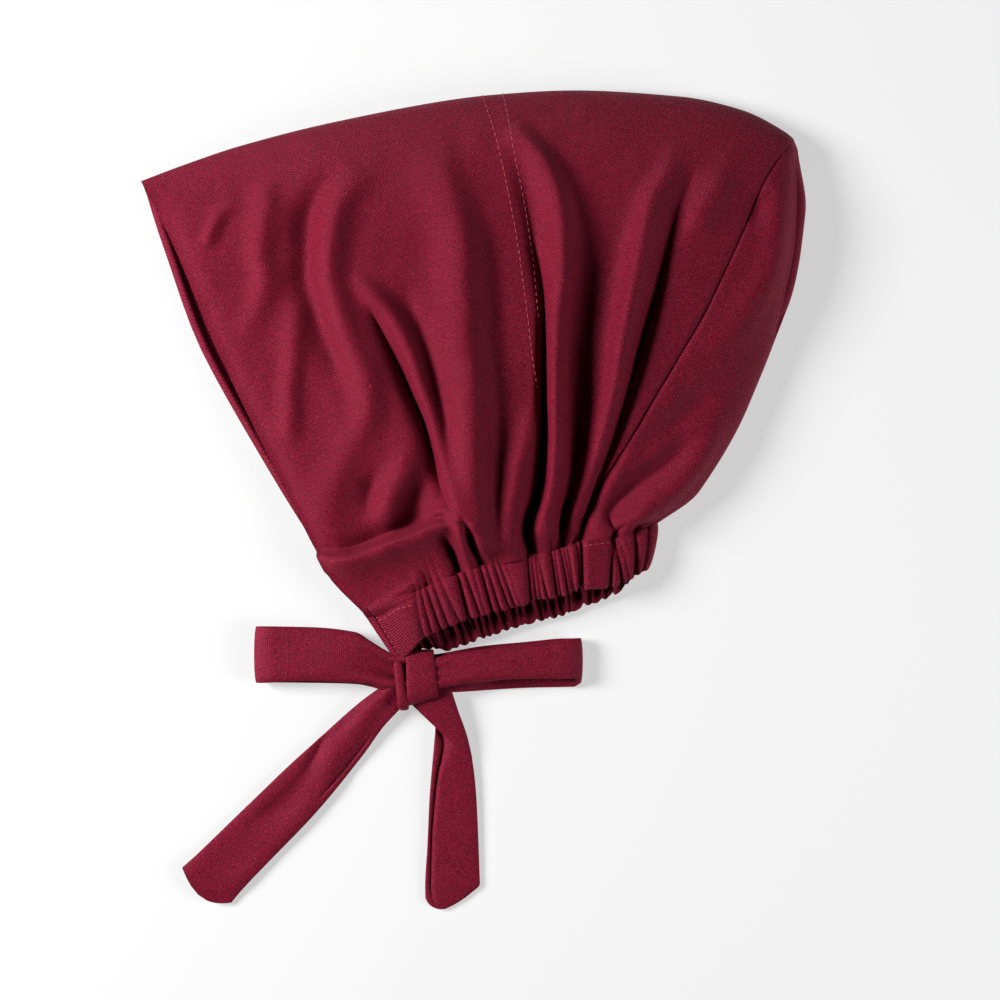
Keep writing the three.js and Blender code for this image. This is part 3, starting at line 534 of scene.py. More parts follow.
def surface(at, height, upper):
    """The middle of the cloth and how far its folds stand out from it."""
    base = base_point(at, height, upper)
    x, y = base[..., 0], base[..., 1]
    inner = distance_to_fold(at, height)
    up_from_edge = height * RIB_LENGTH
    strength = mix(*FOLD_STRENGTH, smooth((STRENGTH_TOP - y) / STRENGTH_RANGE))
    folds = fold_rise(x, y, FOLDS) * strength * smooth(inner / FOLD_FADE)
    folds = folds * mix(0.3, 1, smooth(up_from_edge / FOLD_FADE)) + fold_rise(x, y, BACK_EDGE)
    pucker = sum(value_noise(x / wide, y / long, seed) * rise for wide, long, seed, rise in PUCKERS)
    stray = GATHER_STRAY * value_noise(at * 30, height * 20, 8) * smooth(height / 0.02)
    share = -0.15 * smooth(height / 0.03)
    gathers = -GATHER_PULL * gathers_at(place_of(at, upper) + stray, share, GATHER_BREADTH)
    gathers = gathers * np.exp(-((up_from_edge / GATHER_RUN_OUT) ** 1.4))
    step = np.full_like(at, FACE_STEP)
    first = plan(step, height, upper) - plan(0 * step, height, upper)
    inward = at / FACE_STEP * np.linalg.norm(first, axis=-1)
    gathers -= FACE_DIP * bell(inward, 6) * smooth(inner / 20)
    wave = np.sin(at * 40 + 1) * UNDER_WAVE
    under = -np.maximum(0, wave * (1 - smooth(height / 0.25)) * smooth(height / 0.05))
    under -= FACE_ROLL * bell(inward - FACE_ROLL_PLACE, 2.3) * smooth(inner / 16)
    return base, np.where(upper > 0.5, folds + gathers + pucker * smooth(inner / 22), under)


def grid_normals(points):
    return unit(np.cross(np.gradient(points, axis=0), np.gradient(points, axis=1)))


def make_mesh(name, vertices, faces, uv=None, normals=None):
    """Makes a shown mesh from points in the drawing's axes."""
    mesh = bpy.data.meshes.new(name)
    mesh.from_pydata(((vertices - ORIGIN) / PER_METRE).tolist(), [], faces)
    mesh.update()
    mesh.polygons.foreach_set("use_smooth", np.ones(len(mesh.polygons), bool))
    if uv is not None:
        layer = mesh.uv_layers.new(name="Knit")
        loops = np.empty(len(mesh.loops), int)
        mesh.loops.foreach_get("vertex_index", loops)
        layer.data.foreach_set("uv", uv[loops].astype(np.float32).ravel())
    if normals is not None:
        mesh.normals_split_custom_set_from_vertices(normals.tolist())
    thing = bpy.data.objects.new(name, mesh)
    bpy.context.collection.objects.link(thing)
    return thing


def rim(fine, coarse):
    """Triangles between a fine edge and one with half as many steps."""
    f0, f1, f2, c0, c1 = fine[:-1:2], fine[1::2], fine[2::2], coarse[:-1], coarse[1:]
    triangles = ((f1, f0, c0), (f1, c0, c1), (f2, f1, c1))
    return [f for t in triangles for f in np.stack(t, -1).tolist()]


def shell(name, outer, normal, uv):
    """A closed sheet of cloth below a grid of points, its hidden face twice as coarse."""
    inner = (outer - normal * CLOTH)[::2, ::2]
    out = np.arange(outer.shape[0] * outer.shape[1]).reshape(outer.shape[:2])
    inn = np.arange(inner.shape[0] * inner.shape[1]).reshape(inner.shape[:2]) + out.size
    quads = [np.stack([out[:-1, :-1], out[1:, :-1], out[1:, 1:], out[:-1, 1:]], -1)]
    quads.append(np.stack([inn[:-1, :-1], inn[:-1, 1:], inn[1:, 1:], inn[1:, :-1]], -1))
    faces = [f for q in quads for f in q.reshape(-1, 4).tolist()]
    faces += rim(out[:, 0], inn[:, 0]) + rim(out[-1], inn[-1])
    faces += rim(out[::-1, -1], inn[::-1, -1]) + rim(out[0, ::-1], inn[0, ::-1])
    vertices = np.concatenate([outer.reshape(-1, 3), inner.reshape(-1, 3)])
    normals = np.concatenate([normal.reshape(-1, 3), -normal[::2, ::2].reshape(-1, 3)])
    uvs = np.concatenate([uv.reshape(-1, 2), uv[::2, ::2].reshape(-1, 2)])
    return make_mesh(name, vertices, faces, uvs, normals)


ROW_SHIFT = 0.07


def crowded(t):
    """Places the rows of a panel close together at the crown fold and at the casing."""
    t = t - ROW_SHIFT * np.sin(2 * math.pi * t)
    return 1 - (1 - t) ** FOLD_CROWDING


WALE_TURN = math.radians(56)


def knit_uv(points):
    """Millimetres across and along the wales, the same way on the whole cap."""
    x, y = points[..., 0], points[..., 1]
    across = x * math.cos(WALE_TURN) + y * math.sin(WALE_TURN)
    along = -x * math.sin(WALE_TURN) + y * math.cos(WALE_TURN)
    return np.stack([across, along], -1)


# The lowest that the lower layer, the upper layer and the ties and casing go
LOWER_STOP = 0.05
UPPER_STOP = 3.2
TABLE_STOP = 0.1


def folded(at, height, upper):
    """The outer face of the cloth over a grid, and its normals. The first axis runs with `at`."""
    base, rise = surface(at, height, upper)
    points = base + grid_normals(base) * rise[..., None]
    normal = grid_normals(points)
    outer = points + normal * WALL / 2
    outer[..., 2] = np.maximum(outer[..., 2], mix(LOWER_STOP, UPPER_STOP, upper))
    return outer, normal


def wrapped_grid(low, high, columns):
    """A panel that runs from the upper neck edge over the crown fold to the lower neck edge.

    One more column on each side makes its normals meet the next panel's, and is then left off.
    """
    at = low + (high - low) / columns * np.arange(-1, columns + 2)
    rows = np.concatenate([np.linspace(0, 1, UPPER_ROWS + 1), 1 + np.linspace(0, 1, LOWER_ROWS + 1)[1:]])
    height = crowded(np.where(rows <= 1, rows, 2 - rows))
    upper = (rows <= 1).astype(float)
    A, H = np.meshgrid(at, height, indexing="ij")
    outer, normal = folded(np.maximum(A, 0), H, np.broadcast_to(upper, A.shape))
    if low == 0:
        # no cloth lies before the face edge, so its normals come from the column behind it
        normal[1] = normal[2]
    return outer[1:-1], normal[1:-1]


def wrapped_panel(name, low, high, columns):
    outer, normal = wrapped_grid(low, high, columns)
    return shell(name, outer, normal, knit_uv(outer))


BACK_PANEL_TOP = 0.985


def back_panel():
    """The panel round the back outline, which ends just short of the point of the crown."""
    q = np.linspace(-1, 1, 2 * BACK_COLUMNS + 1)
    Q, T = np.meshgrid(q, np.linspace(0, BACK_PANEL_TOP, UPPER_ROWS + 1), indexing="ij")
    A = 1 - (1 - BACK_SEAM) * np.abs(Q) ** FOLD_CROWDING
    outer, normal = folded(A, crowded(T), (Q <= 0).astype(float))
    return shell("back_panel_cloth", outer, normal, knit_uv(outer))


def swept(name, rings, closed=False, turned=False):
    """A closed solid through rings of points, capped at both ends unless it closes on itself."""
    n, m = rings.shape[:2]
    i = np.arange(n if closed else n - 1)[:, None]
    k = np.arange(m)[None, :]
    a, b = i * m + k, i * m + (k + 1) % m
    c, d = ((i + 1) % n) * m + (k + 1) % m, ((i + 1) % n) * m + k
    faces = np.stack([a, b, c, d], -1).reshape(-1, 4).tolist()
    if not closed:
        faces.append(list(range(m))[::-1])
        faces.append(list(range((n - 1) * m, n * m)))
    uv = np.meshgrid(length_along(rings.mean(1)), length_along(rings[n // 2]), indexing="ij")
    uv = np.stack(uv[::-1] if turned else uv, -1).reshape(-1, 2)
    return make_mesh(name, rings.reshape(-1, 3), faces, uv)


def section(count, flatness):
    """Points of a flat oval section, as (-1 to 1 across, -1 to 1 through)."""
    angle = np.linspace(0, 2 * math.pi, count, endpoint=False)
    c, s = np.cos(angle), np.sin(angle)
    across = np.sign(c) * np.abs(c) ** (2 / flatness)
    deep = np.sign(s) * np.abs(s) ** (2 / flatness)
    return across, deep


TIE_FLATNESS = 5.0
NUDGE = 1e-3


def strap(name, middle, stations, thickness, ring=TIE_RING):
    """A tie along a path. middle(s, t) is the middle of the cloth, t from -1 to 1 across."""
    across, deep = section(ring, TIE_FLATNESS)
    S, T = np.meshgrid(stations, across, indexing="ij")
    forward = middle(S + NUDGE, T) - middle(S - NUDGE, T)
    sideways = middle(S, T + NUDGE) - middle(S, T - NUDGE)
    normal = unit(np.cross(forward, sideways))
    return swept(name, middle(S, T) + normal * (deep[None, :, None] * thickness / 2))


# The casing's section, its overlap with the body, and how it lies at the near front end
CASING_FLATNESS = 3.4
CASING_OVERLAP = 1.2
CASING_PUFF = 1.3
END_DROP = -0.4
END_REACH = 24
END_LONGER = 3.0
END_DROOP = 5.2
# The far side of the casing hangs out below the front end: how far, where and how broad
FAR_LONGER = 4.6
FAR_PLACE = 0.20
FAR_BREADTH = 0.08
# The hem's ridge and step across the end, and the folded strip's ridge and step along the top
HEM_RIDGE = 0.9
HEM_RIDGE_BREADTH = 0.6
HEM_STEP = 0.4
# How deep the gathers are, and how they pull the free edge in
CASING_GATHERS = 2.5
EDGE_PULL = 1.3


def casing_frame():
    """Along the casing: the way it hangs, the way up and its width."""
    turn = np.radians(column(CASING_HANG, 1, CASING_AT))
    edge = distance_to_fold(CASING_AT, np.zeros_like(CASING_AT))
    drop = (CASING_DROP / CASING_WIDTH) * rounded(edge, UPPER_ROLL)
    drop = np.where(CASING_UPPER > 0.5, drop, 0)
    drop = drop * mix(END_DROP, 1, smooth(CASING_RUN / END_REACH))
    hang = unit(np.stack([np.sin(turn), -np.cos(turn), -drop], -1))
    up = unit(np.cross(hang, np.gradient(CASING_POINT, axis=0)))
    up = np.where((up[:, 2] * (CASING_UPPER - 0.5) < 0)[:, None], -up, up)
    return hang, up, column(CASING_HANG, 2, CASING_AT) * CASING_WIDTH


def casing_rings():
    """How far across the casing the points of its rings are, the rings themselves and the way up."""
    hang, up, width = casing_frame()
    across, deep = section(CASING_RING, CASING_FLATNESS)
    t = (across[None, :] + 1) / 2
    place = CASING_RUN[:, None]
    depth = gathers_at(place, t)
    hanging = bell(CASING_AT - FAR_PLACE, FAR_BREADTH) * (CASING_UPPER < 0.5)
    longer = END_LONGER * (1 - smooth((place - 6) / 14)) + FAR_LONGER * hanging[:, None]
    near = 1 - smooth((place - NEAR_LENGTH) / 6)
    strip = 1 - smooth((place - HEM_REACH * 0.6) / (HEM_REACH * 0.6))
    slow = value_noise(place / 13, t * 0.7 + 5, 22) * smooth((place - 14) / 10)
    start = -CASING_OVERLAP - HEM_STRIP * strip
    reach = start + t * (width[:, None] + 0.2 + longer - start)
    reach = reach + t**2 * (1.1 - EDGE_PULL * depth + slow * 1.1)
    hem = HEM_RIDGE * bell(place - HEM_END, HEM_RIDGE_BREADTH)
    hem = hem - HEM_STEP * (1 - smooth((place - HEM_END) / 0.8))
    fold = HEM_RIDGE * bell(reach - 0.8, HEM_RIDGE_BREADTH)
    fold = fold + 0.5 * (1 - smooth(reach / 1.6))
    lift = deep[None, :] * (CASING_THICKNESS / 2 - 0.6)
    lift = lift + CASING_PUFF - CASING_GATHERS * depth * (0.75 + 0.25 * t)
    lift = lift + slow * 0.7 - hem * near - fold * strip
    lift = lift + (0.8 * np.sin(math.pi * t) ** 0.7 - 0.5) * smooth((place - 12) / 10)
    lift = lift - END_DROOP * (1 - smooth((place + 4) / END_REACH)) * smooth(t / 0.25)
    rings = CASING_POINT[:, None] + hang[:, None] * reach[..., None] + up[:, None] * lift[..., None]
    rings[..., 2] = np.maximum(rings[..., 2], TABLE_STOP)
    return t[0], rings, up


# Stitches along the casing's top: from and to along it, and the share of its width they lie at
TOP_STITCHES = ((5.5, 22, 0.26), (105, 117, 0.10))
CASING_STITCH = 1.9
CASING_STITCH_SPACING = 2.7
CASING_THREAD = 0.5
THREAD_LIFT = 0.05


def casing_stitches():
    """One row across the hem of the front end, and rows along the top where the casing lies plain."""
    t, rings, up = casing_rings()
    top = np.arange(len(t) // 2, 0, -1)
    hem = np.searchsorted(CASING_RUN, HEM_END)
    row = rings[hem, top]
    run = length_along(row)
    lines = [(row, run, 1.6, run[-1] - 1.2, up[hem])]
    for first, last, share in TOP_STITCHES:
        span = np.arange(*np.searchsorted(CASING_RUN, (first, last)))
        row = np.array([[np.interp(share, t[top], rings[i, top, k]) for k in range(3)] for i in span])
        run = length_along(row)
        lines.append((row, run, 0, run[-1], up[span[0]]))
    points, ways, ups = [], [], []
    for row, run, first, last, normal in lines:
        for s in np.arange(first, last, CASING_STITCH_SPACING):
            here = at_length(s, run, row)
            points.append(here + normal * THREAD_LIFT)
            ways.append(at_length(s + 0.3, run, row) - here)
            ups.append(normal)
    return stitches("casing_topstitching", points, ways, ups, CASING_STITCH, CASING_THREAD)


# The knot sits past the casing's front corner, by shares of its own width and length
KNOT_PAST = (0.6, 0.415)
FACE_RIB = RIBS[0]
END_TURN = math.radians(CASING_HANG[0, 1])
KNOT = np.array([
    FACE_RIB[1] * CAP_LENGTH + math.sin(END_TURN) * CASING_WIDTH + KNOT_PAST[0] * KNOT_WIDTH,
    FACE_RIB[2] * CAP_HEIGHT - math.cos(END_TURN) * CASING_WIDTH - KNOT_PAST[1] * KNOT_LENGTH,
])
LOOP_THICKNESS = TIE_THICKNESS * 0.8
TAIL_THICKNESS = TIE_THICKNESS * 0.75
TURN_THICKNESS = TIE_THICKNESS * 0.7

# Pleats of the loops where they leave the knot: place across, depth and how far they run
FRONT_PLEATS = [(0.45, 2.2, 0.26), (0.0, 3.0, 0.36), (-0.5, 2.8, 0.42)]
BACK_PLEATS = [(0.35, 1.1, 0.22), (-0.30, 1.1, 0.26)]
PLEAT_BREADTH = 0.15
LOOP_SINK = 1.6


def bow_loop(name, sides, length, toward, pleats, shift=0.0):
    """A loop of the bow: out from the knot along its lower layer and back along its upper one."""
    def middle(s, t):
        at = 1 - np.abs(s) ** FOLD_CROWDING
        low = np.where(s < 0, column(sides, 3, at), column(sides, 2, at))
        high = column(sides, 1, at) + np.where(s < 0, shift, -shift) * (1 - smooth((at - 0.8) / 0.2))
        y = mix(low, high, (t + 1) / 2) * TIE_WIDTH
        x = KNOT_WIDTH / 2 + SEAM_GAP + at * length - 0.6 * t * t * smooth(at)
        lean = -KNOT_LEAN * KNOT_WIDTH * (2 * y / KNOT_LENGTH) * (1 - at)
        pinch = np.zeros_like(t * at)
        for place, depth, reach in pleats:
            valley = bell(t - place - 0.3 * at * place, PLEAT_BREADTH)
            pinch = pinch - depth * valley * (1 - smooth(at / reach))
        under = mix(LOOP_ROOT, TIE_THICKNESS / 2 + 0.1, smooth((at - 0.12) / 0.3)) + pinch * 0.3
        sway = 0.5 * np.sin(at * 5 + t * 1.4)
        top = LOOP_RISE - LOOP_SINK * at + pinch + sway * smooth(at / 0.3)
        top = top - 1.2 * np.abs(t) ** 6
        layer = np.where(s < 0, under, top)
        z = mix(LOOP_RISE * 0.43, layer, rounded((1 - at) * length, LOOP_ROLL))
        return np.stack([KNOT[0] + toward * x + lean, KNOT[1] + y, z], -1)

    return strap(name, middle, np.linspace(-1.07, 1.07, TIE_STEPS), LOOP_THICKNESS)


# The front tail's dip, as at and place across, and its ridge and curled edge
DIP_AT = [0, 0.28, 0.35, 0.45, 0.55, 0.62, 0.70, 1]
DIP_ACROSS = [-0.9, -0.8, -0.55, -0.25, -0.15, -0.25, -0.3, -0.3]
RIDGE_BREADTH = 0.42
RIDGE_HEIGHT = 1.8
DIP_BREADTH = 0.26
DIP_DEPTH = 1.7
CURL_PLACE = 0.74
CURL_BREADTH = 0.07
CURL_DEPTH = 1.3
TAIL_ROOT_RISE = 2.2


def front_tail():
    line, length = FRONT_TAIL_LINE, FRONT_TAIL

    def middle(s, t):
        at = clamp01(s)
        before, after = np.clip(at - 0.01, 0, 1), np.clip(at + 0.01, 0, 1)
        fx = column(line, 1, after) - column(line, 1, before)
        fy = column(line, 2, after) - column(line, 2, before)
        f = np.maximum(np.hypot(fx, fy), 1e-9)
        ax, ay = -fy / f, fx / f
        width = column(line, 3, at) * TIE_WIDTH
        round_end = FRONT_TAIL_ROUND * (1 + 0.35 * t) * t * t * smooth((at - 0.8) / 0.2)
        ahead = (s - at) * 120 - round_end
        x = KNOT[0] + column(line, 1, at) * length + ax * t * width / 2 + fx / f * ahead
        y = KNOT[1] + column(line, 2, at) * length + ay * t * width / 2 + fy / f * ahead
        ridge = bell(t + 0.1 - 1.5 * (at - 0.18), RIDGE_BREADTH) * (1 - smooth((at - 0.3) / 0.16))
        dip = bell(t - through(DIP_AT, DIP_ACROSS, at), DIP_BREADTH)
        dip = dip * smooth((at - 0.22) / 0.1) * (1 - smooth((at - 0.6) / 0.18))
        curl = bell(t - CURL_PLACE, CURL_BREADTH)
        curl = curl * smooth((at - 0.14) / 0.08) * (1 - smooth((at - 0.38) / 0.1))
        slow = value_noise(at * 7, t * 1.3 + 9, 31) * smooth(at / 0.2)
        z = TIE_THICKNESS / 2 + TAIL_ROOT_RISE * (1 - smooth(at / 0.3)) + 1.4
        z = z + slow * 0.8 - 0.5 * np.abs(t) ** 5
        z = z + RIDGE_HEIGHT * ridge - DIP_DEPTH * dip - CURL_DEPTH * curl
        return np.stack([x, y, z], -1)

    stations = np.linspace(-0.05, 1, TIE_STEPS)
    return strap("tie_tail_front_cloth", middle, stations, TAIL_THICKNESS, TAIL_RING)


RIBBON_STEPS = 160


def ribbon(name, table, groove=None):
    """A flat tie between a left and a right edge: rows of y, left x, right x, z and how far y tilts."""
    table = np.array(table, float)
    station = np.concatenate([[0], np.cumsum(np.abs(np.diff(table[:, 0])) + 0.3)])
    s = np.linspace(0, station[-1], RIBBON_STEPS)
    y, left, right, z, tilt = (through(station, table[:, k], s)[:, None] for k in range(5))
    across, deep = section(TAIL_RING, TIE_FLATNESS)
    t = across[None, :]
    x = mix(left, right, (t + 1) / 2)
    height = z + deep[None, :] * TURN_THICKNESS / 2 - 0.5 * np.abs(t) ** 4
    if groove:
        g = np.array(groove, float)
        centre, depth, breadth = (through(-g[:, 0], g[:, k], -y) for k in (1, 2, 3))
        height = height - depth * np.exp(-np.abs((x - centre) / breadth) ** 1.8)
    rings = np.stack([x, y + tilt * t / 2, np.broadcast_to(height, x.shape)], -1)
    rings[..., 2] = np.maximum(rings[..., 2], TABLE_STOP)
    return swept(name, rings)


# The back tail turns over below the knot. Its two layers: y, left x, right x, height and tilt
TAIL_BACK_FRONT = [
    [-9, 122, 137, 6.4, 3],
    [-17, 121.5, 140.6, 6.6, 3.6],
    [-21.5, 125.4, 142, 6.4, 4],
    [-26, 130.2, 143.4, 6, 4.4],
    [-31, 135.6, 145.2, 5.4, 4.6],
    [-36, 140.6, 147, 4.6, 4],
    [-41, 144.6, 148.4, 3.6, 3],
    [-46, 148, 149.6, 2.4, 1.5],
]
TAIL_BACK_LOW = [
    [-13, 130, 139, 2.6, 2],
    [-22, 132.4, 141, 3.4, 2],
    [-30, 132.8, 144, 3.6, 1.5],
    [-38, 132.3, 147, 3.4, 1],
    [-46, 131.6, 149.6, 3, 0],
    [-63, 130.2, 151.4, 2.4, 0],
    [-85, 129.2, 152.4, 2, 0],
    [-97, 128.4, 152.8, 1.8, 0.5],
    [-102.2, 128.2, 153, 1.7, 1],
    [-107.1, 128.3, 148.5, 1.5, 1.5],
    [-109.8, 129.4, 144.6, 1.4, 1],
    [-112, 131.4, 140.5, 1.2, 0.5],
    [-113.2, 133.6, 137.3, 1.1, 0],
]
# The groove along the lower layer's rolled edge: y, x, depth and breadth
TAIL_BACK_GROOVE = [
    [-20, 134, 1.6, 2.4],
    [-31, 135.6, 2.6, 2.2],
    [-37, 136.4, 2.6, 1.6],
    [-45, 135.5, 2.2, 1.1],
    [-52, 133.9, 1.8, 0.9],
    [-81, 131.3, 1.4, 0.8],
    [-103, 130.8, 1.2, 0.8],
    [-112, 133, 0.2, 0.7],
]

BAND_POWER = 2 / 3.0


def signed_power(x, power):
    return math.copysign(abs(x) ** power, x)


def knot_band(name, centre, width, half_length, height, low, slope, thickness, lean=1.0, flatness=6.0):
    """A turn of the tie round the bow: a closed band over the top and back under it."""
    angle = np.linspace(0, 2 * math.pi, 140, endpoint=False)
    t, deep = section(52, flatness)
    half = (height - low) / 2 - thickness / 2
    rings = []
    for c, s in zip(np.cos(angle), np.sin(angle)):
        cy, cz = signed_power(c, BAND_POWER), signed_power(s, BAND_POWER)
        ny = signed_power(c, 2 - BAND_POWER) / half_length
        nz = signed_power(s, 2 - BAND_POWER) / half
        size = math.hypot(ny, nz)
        side = slope * (t - 1) / 2 if cy < 0 else 0.0
        x = t * width / 2 * (1 - 0.07 * cy) + centre[0]
        y = centre[1] + cy * (half_length - thickness / 2 + side) + ny / size * deep * thickness / 2
        z = low + thickness / 2 + half + cz * half + nz / size * deep * thickness / 2
        z = z - 0.5 * np.abs(t) ** 4 * max(cz, 0)
        x = x - lean * KNOT_LEAN * KNOT_WIDTH * (2 * y / KNOT_LENGTH)
        rings.append(np.stack([KNOT[0] + x, KNOT[1] + y, z], -1))
    return swept(name, np.array(rings), closed=True)


# The core of the knot: shares of the knot's width and length, its height and half its depth
CORE_WIDTH = 0.45
CORE_LENGTH = 0.33
CORE_LEVEL = 5.4
CORE_DEPTH = 4.4


def knot_core():
    rings = []
    across, deep = section(32, 2.6)
    for u in np.linspace(-1, 1, 24):
        size = mix(0.7, 1, rounded(1 - abs(u), 0.7))
        x = KNOT[0] + across * KNOT_WIDTH * CORE_WIDTH * size
        y = KNOT[1] + u * KNOT_LENGTH * CORE_LENGTH + 0 * across
        z = CORE_LEVEL + deep * CORE_DEPTH * size
        rings.append(np.stack([x, y, z], -1))
    return swept("tie_knot_core", np.array(rings))


# Rings along a thread: shares of its length, thickness and sink into the cloth
THREAD_RINGS = ((-0.5, 0.35, -0.35), (-0.3, 1, 0), (0.3, 1, 0), (0.5, 0.35, -0.35))
THREAD_SIDES = 6
SEAM_STITCH = 2.3
SEAM_STITCH_SPACING = 3.2
SEAM_THREAD = 0.55


def stitches(name, centres, directions, ups, length, thick):
    """Rows of short threads lying on the cloth, as one mesh."""
    vertices, faces = [], []
    for p, d, u in zip(centres, directions, ups):
        d = d / np.linalg.norm(d)
        w = np.cross(d, u)
        w /= np.linalg.norm(w)
        start = len(vertices)
        for place, size, sink in THREAD_RINGS:
            for j in range(THREAD_SIDES):
                a = 2 * math.pi * j / THREAD_SIDES
                q = p + d * place * length + u * sink * thick
                q = q + (w * math.cos(a) + u * math.sin(a) * 0.8) * size * thick / 2
                vertices.append(q)
        last = start + (len(THREAD_RINGS) - 1) * THREAD_SIDES
        for ring in range(start, last, THREAD_SIDES):
            for j in range(THREAD_SIDES):
                a, b = ring + j, ring + (j + 1) % THREAD_SIDES
                faces.append([a, b, b + THREAD_SIDES, a + THREAD_SIDES])
        faces.append([start + j for j in range(THREAD_SIDES)][::-1])
        faces.append([last + j for j in range(THREAD_SIDES)])
    return make_mesh(name, np.array(vertices), faces)


# How far the stitches lie from the crown seam: height up the panel and distance
STITCH_HEIGHT = [0, 0.48, 0.58, 0.72, 0.88, 1]
STITCH_GAP = [1.7, 1.9, 2.3, 2.8, 3.5, 4.7]
# Both sides of the seam: panel's first and last rib and columns, and y below which a fold hides them
SEAM_SIDES = (
    (0, CROWN_SEAM, FRONT_COLUMNS, 87),
    (CROWN_SEAM, BACK_SEAM, CROWN_COLUMNS, 127),
)
SEAM_SAMPLE = 20


def seam_rows():
    """The stitches on both sides of the seam between the front and crown panels."""
    marks = []
    for low, high, columns, lost in SEAM_SIDES:
        outer, normal = wrapped_grid(low, high, columns)
        rows = np.arange(2, outer.shape[1] - 1)
        beyond = 1 - (rows - UPPER_ROWS) / LOWER_ROWS
        height = crowded(np.where(rows <= UPPER_ROWS, rows / UPPER_ROWS, beyond))
        gap = through(STITCH_HEIGHT, STITCH_GAP, height)
        seam_last = high == CROWN_SEAM
        edge, next_in = (-1, -1 - SEAM_SAMPLE) if seam_last else (0, SEAM_SAMPLE)
        per_column = np.linalg.norm(outer[edge, rows] - outer[next_in, rows], axis=1) / SEAM_SAMPLE
        place = np.clip(gap / per_column, 0, columns - 1)
        index = (columns - place) if seam_last else place
        i, f = index.astype(int), (index % 1)[:, None]
        point = outer[i, rows] * (1 - f) + outer[np.minimum(i + 1, columns), rows] * f
        run = length_along(point)
        at = np.arange(1.5, run[-1], SEAM_STITCH_SPACING)
        hidden = (point[:, 1] < lost) & (rows <= UPPER_ROWS)
        at = at[np.interp(at, run, hidden.astype(float)) < 0.5]
        marks.append([at_length(at, run, a) for a in (point, np.gradient(point, axis=0), normal[i, rows])])
    points, ways, ups = (np.concatenate([m[k] for m in marks]) for k in range(3))
    return stitches("crown_topstitching", points + ups * THREAD_LIFT, ways, ups, SEAM_STITCH, SEAM_THREAD)


# Specks per metre, the wales' scale per millimetre, and the depth of the relief in metres
SPECKLE_SCALE = 1700
FIBRE_GLINT_SCALE = 2100
FUZZ_SCALE = 1500
WALE_SCALE = 0.33
RELIEF = 0.0003
# Sockets of a colour mix
FACTOR, COLOUR_A, COLOUR_B, COLOUR_OUT = 0, 6, 7, 2


def jersey(name, wales):
    """Cotton jersey: wine red, matt, slightly fuzzy, with fine wales and pale specks that are partly
    painted glints of light.
    """
    material = bpy.data.materials.new(name)
    material.use_nodes = True
    nodes, links = material.node_tree.nodes, material.node_tree.links
    nodes.clear()

    def add(kind, values, **settings):
        """Adds a node, sets its numbers, and links what comes from another node."""
        node = nodes.new("ShaderNode" + kind)
        for key, value in settings.items():
            setattr(node, key, value)
        for socket, value in values.items():
            if isinstance(value, bpy.types.NodeSocket):
                links.new(value, node.inputs[socket])
            else:
                node.inputs[socket].default_value = value
        return node.outputs

    place = add("TexCoord", {})["Object"]
    uv = add("UVMap", {}, uv_map="Knit")["UV"]
    speckle = add("TexNoise", {"Vector": place, "Scale": SPECKLE_SCALE, "Detail": 2})["Fac"]
    fibre_glint = add("TexNoise", {"Vector": place, "Scale": FIBRE_GLINT_SCALE, "Detail": 1})["Fac"]
    fuzz = add("TexNoise", {"Vector": place, "Scale": FUZZ_SCALE, "Detail": 3})["Fac"]
    waves = {"Vector": uv, "Scale": WALE_SCALE, "Distortion": 0.6, "Detail": 1.0, "Detail Scale": 0.6}
    wave = add("TexWave", waves, wave_type="BANDS", bands_direction="X")["Fac"]
    ramp = {"Value": speckle, "From Min": 0.3, "From Max": 0.7, "To Min": 0.42, "To Max": 1.74}
    shade = add("MapRange", ramp)["Result"]
    grey = add("CombineColor", {k: shade for k in range(3)})["Color"]
    red = {FACTOR: 1.0, COLOUR_A: SKIN_COLOUR, COLOUR_B: grey}
    red = add("Mix", red, data_type="RGBA", blend_type="MULTIPLY")[COLOUR_OUT]
    # Mixes pale pink specks into the red: partly paler fibres, partly painted glints of light on the fuzz
    ramp = {"Value": fibre_glint, "From Min": 0.58, "From Max": 0.78, "To Min": 0.0, "To Max": 0.13}
    pale_glint = add("MapRange", ramp)["Result"]
    fibre_glints = {FACTOR: pale_glint, COLOUR_A: red, COLOUR_B: FIBRE_GLINT_COLOUR}
    relief = add("Bump", {"Height": wave, "Strength": wales, "Distance": RELIEF})["Normal"]
    relief = {"Height": fuzz, "Normal": relief, "Strength": 0.6, "Distance": RELIEF}
    shader = add("BsdfPrincipled", {
        "Base Color": add("Mix", fibre_glints, data_type="RGBA")[COLOUR_OUT],
        "Normal": add("Bump", relief)["Normal"],
        "Roughness": 0.66,
        "Specular IOR Level": 0.42,
        "Specular Tint": GLOSS_COLOUR,
        "Sheen Weight": 0.07,
        "Sheen Roughness": 0.5,
        "Sheen Tint": LIT_COLOUR,
    })
    add("OutputMaterial", {"Surface": shader["BSDF"]})
    return material


def plain_material(name, colour, roughness):
    material = bpy.data.materials.new(name)
    material.use_nodes = True
    shader = material.node_tree.nodes["Principled BSDF"]
    shader.inputs["Base Color"].default_value = colour
    shader.inputs["Roughness"].default_value = roughness
    return material


cloth = jersey("Wine jersey", wales=0.7)
strap_cloth = jersey("Wine jersey strap", wales=0.2)
thread = plain_material("Thread", THREAD_COLOUR, 0.7)


def show(thing, node, material=cloth):
    thing.data.materials.append(material)
    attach(thing, "root")
    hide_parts(node)


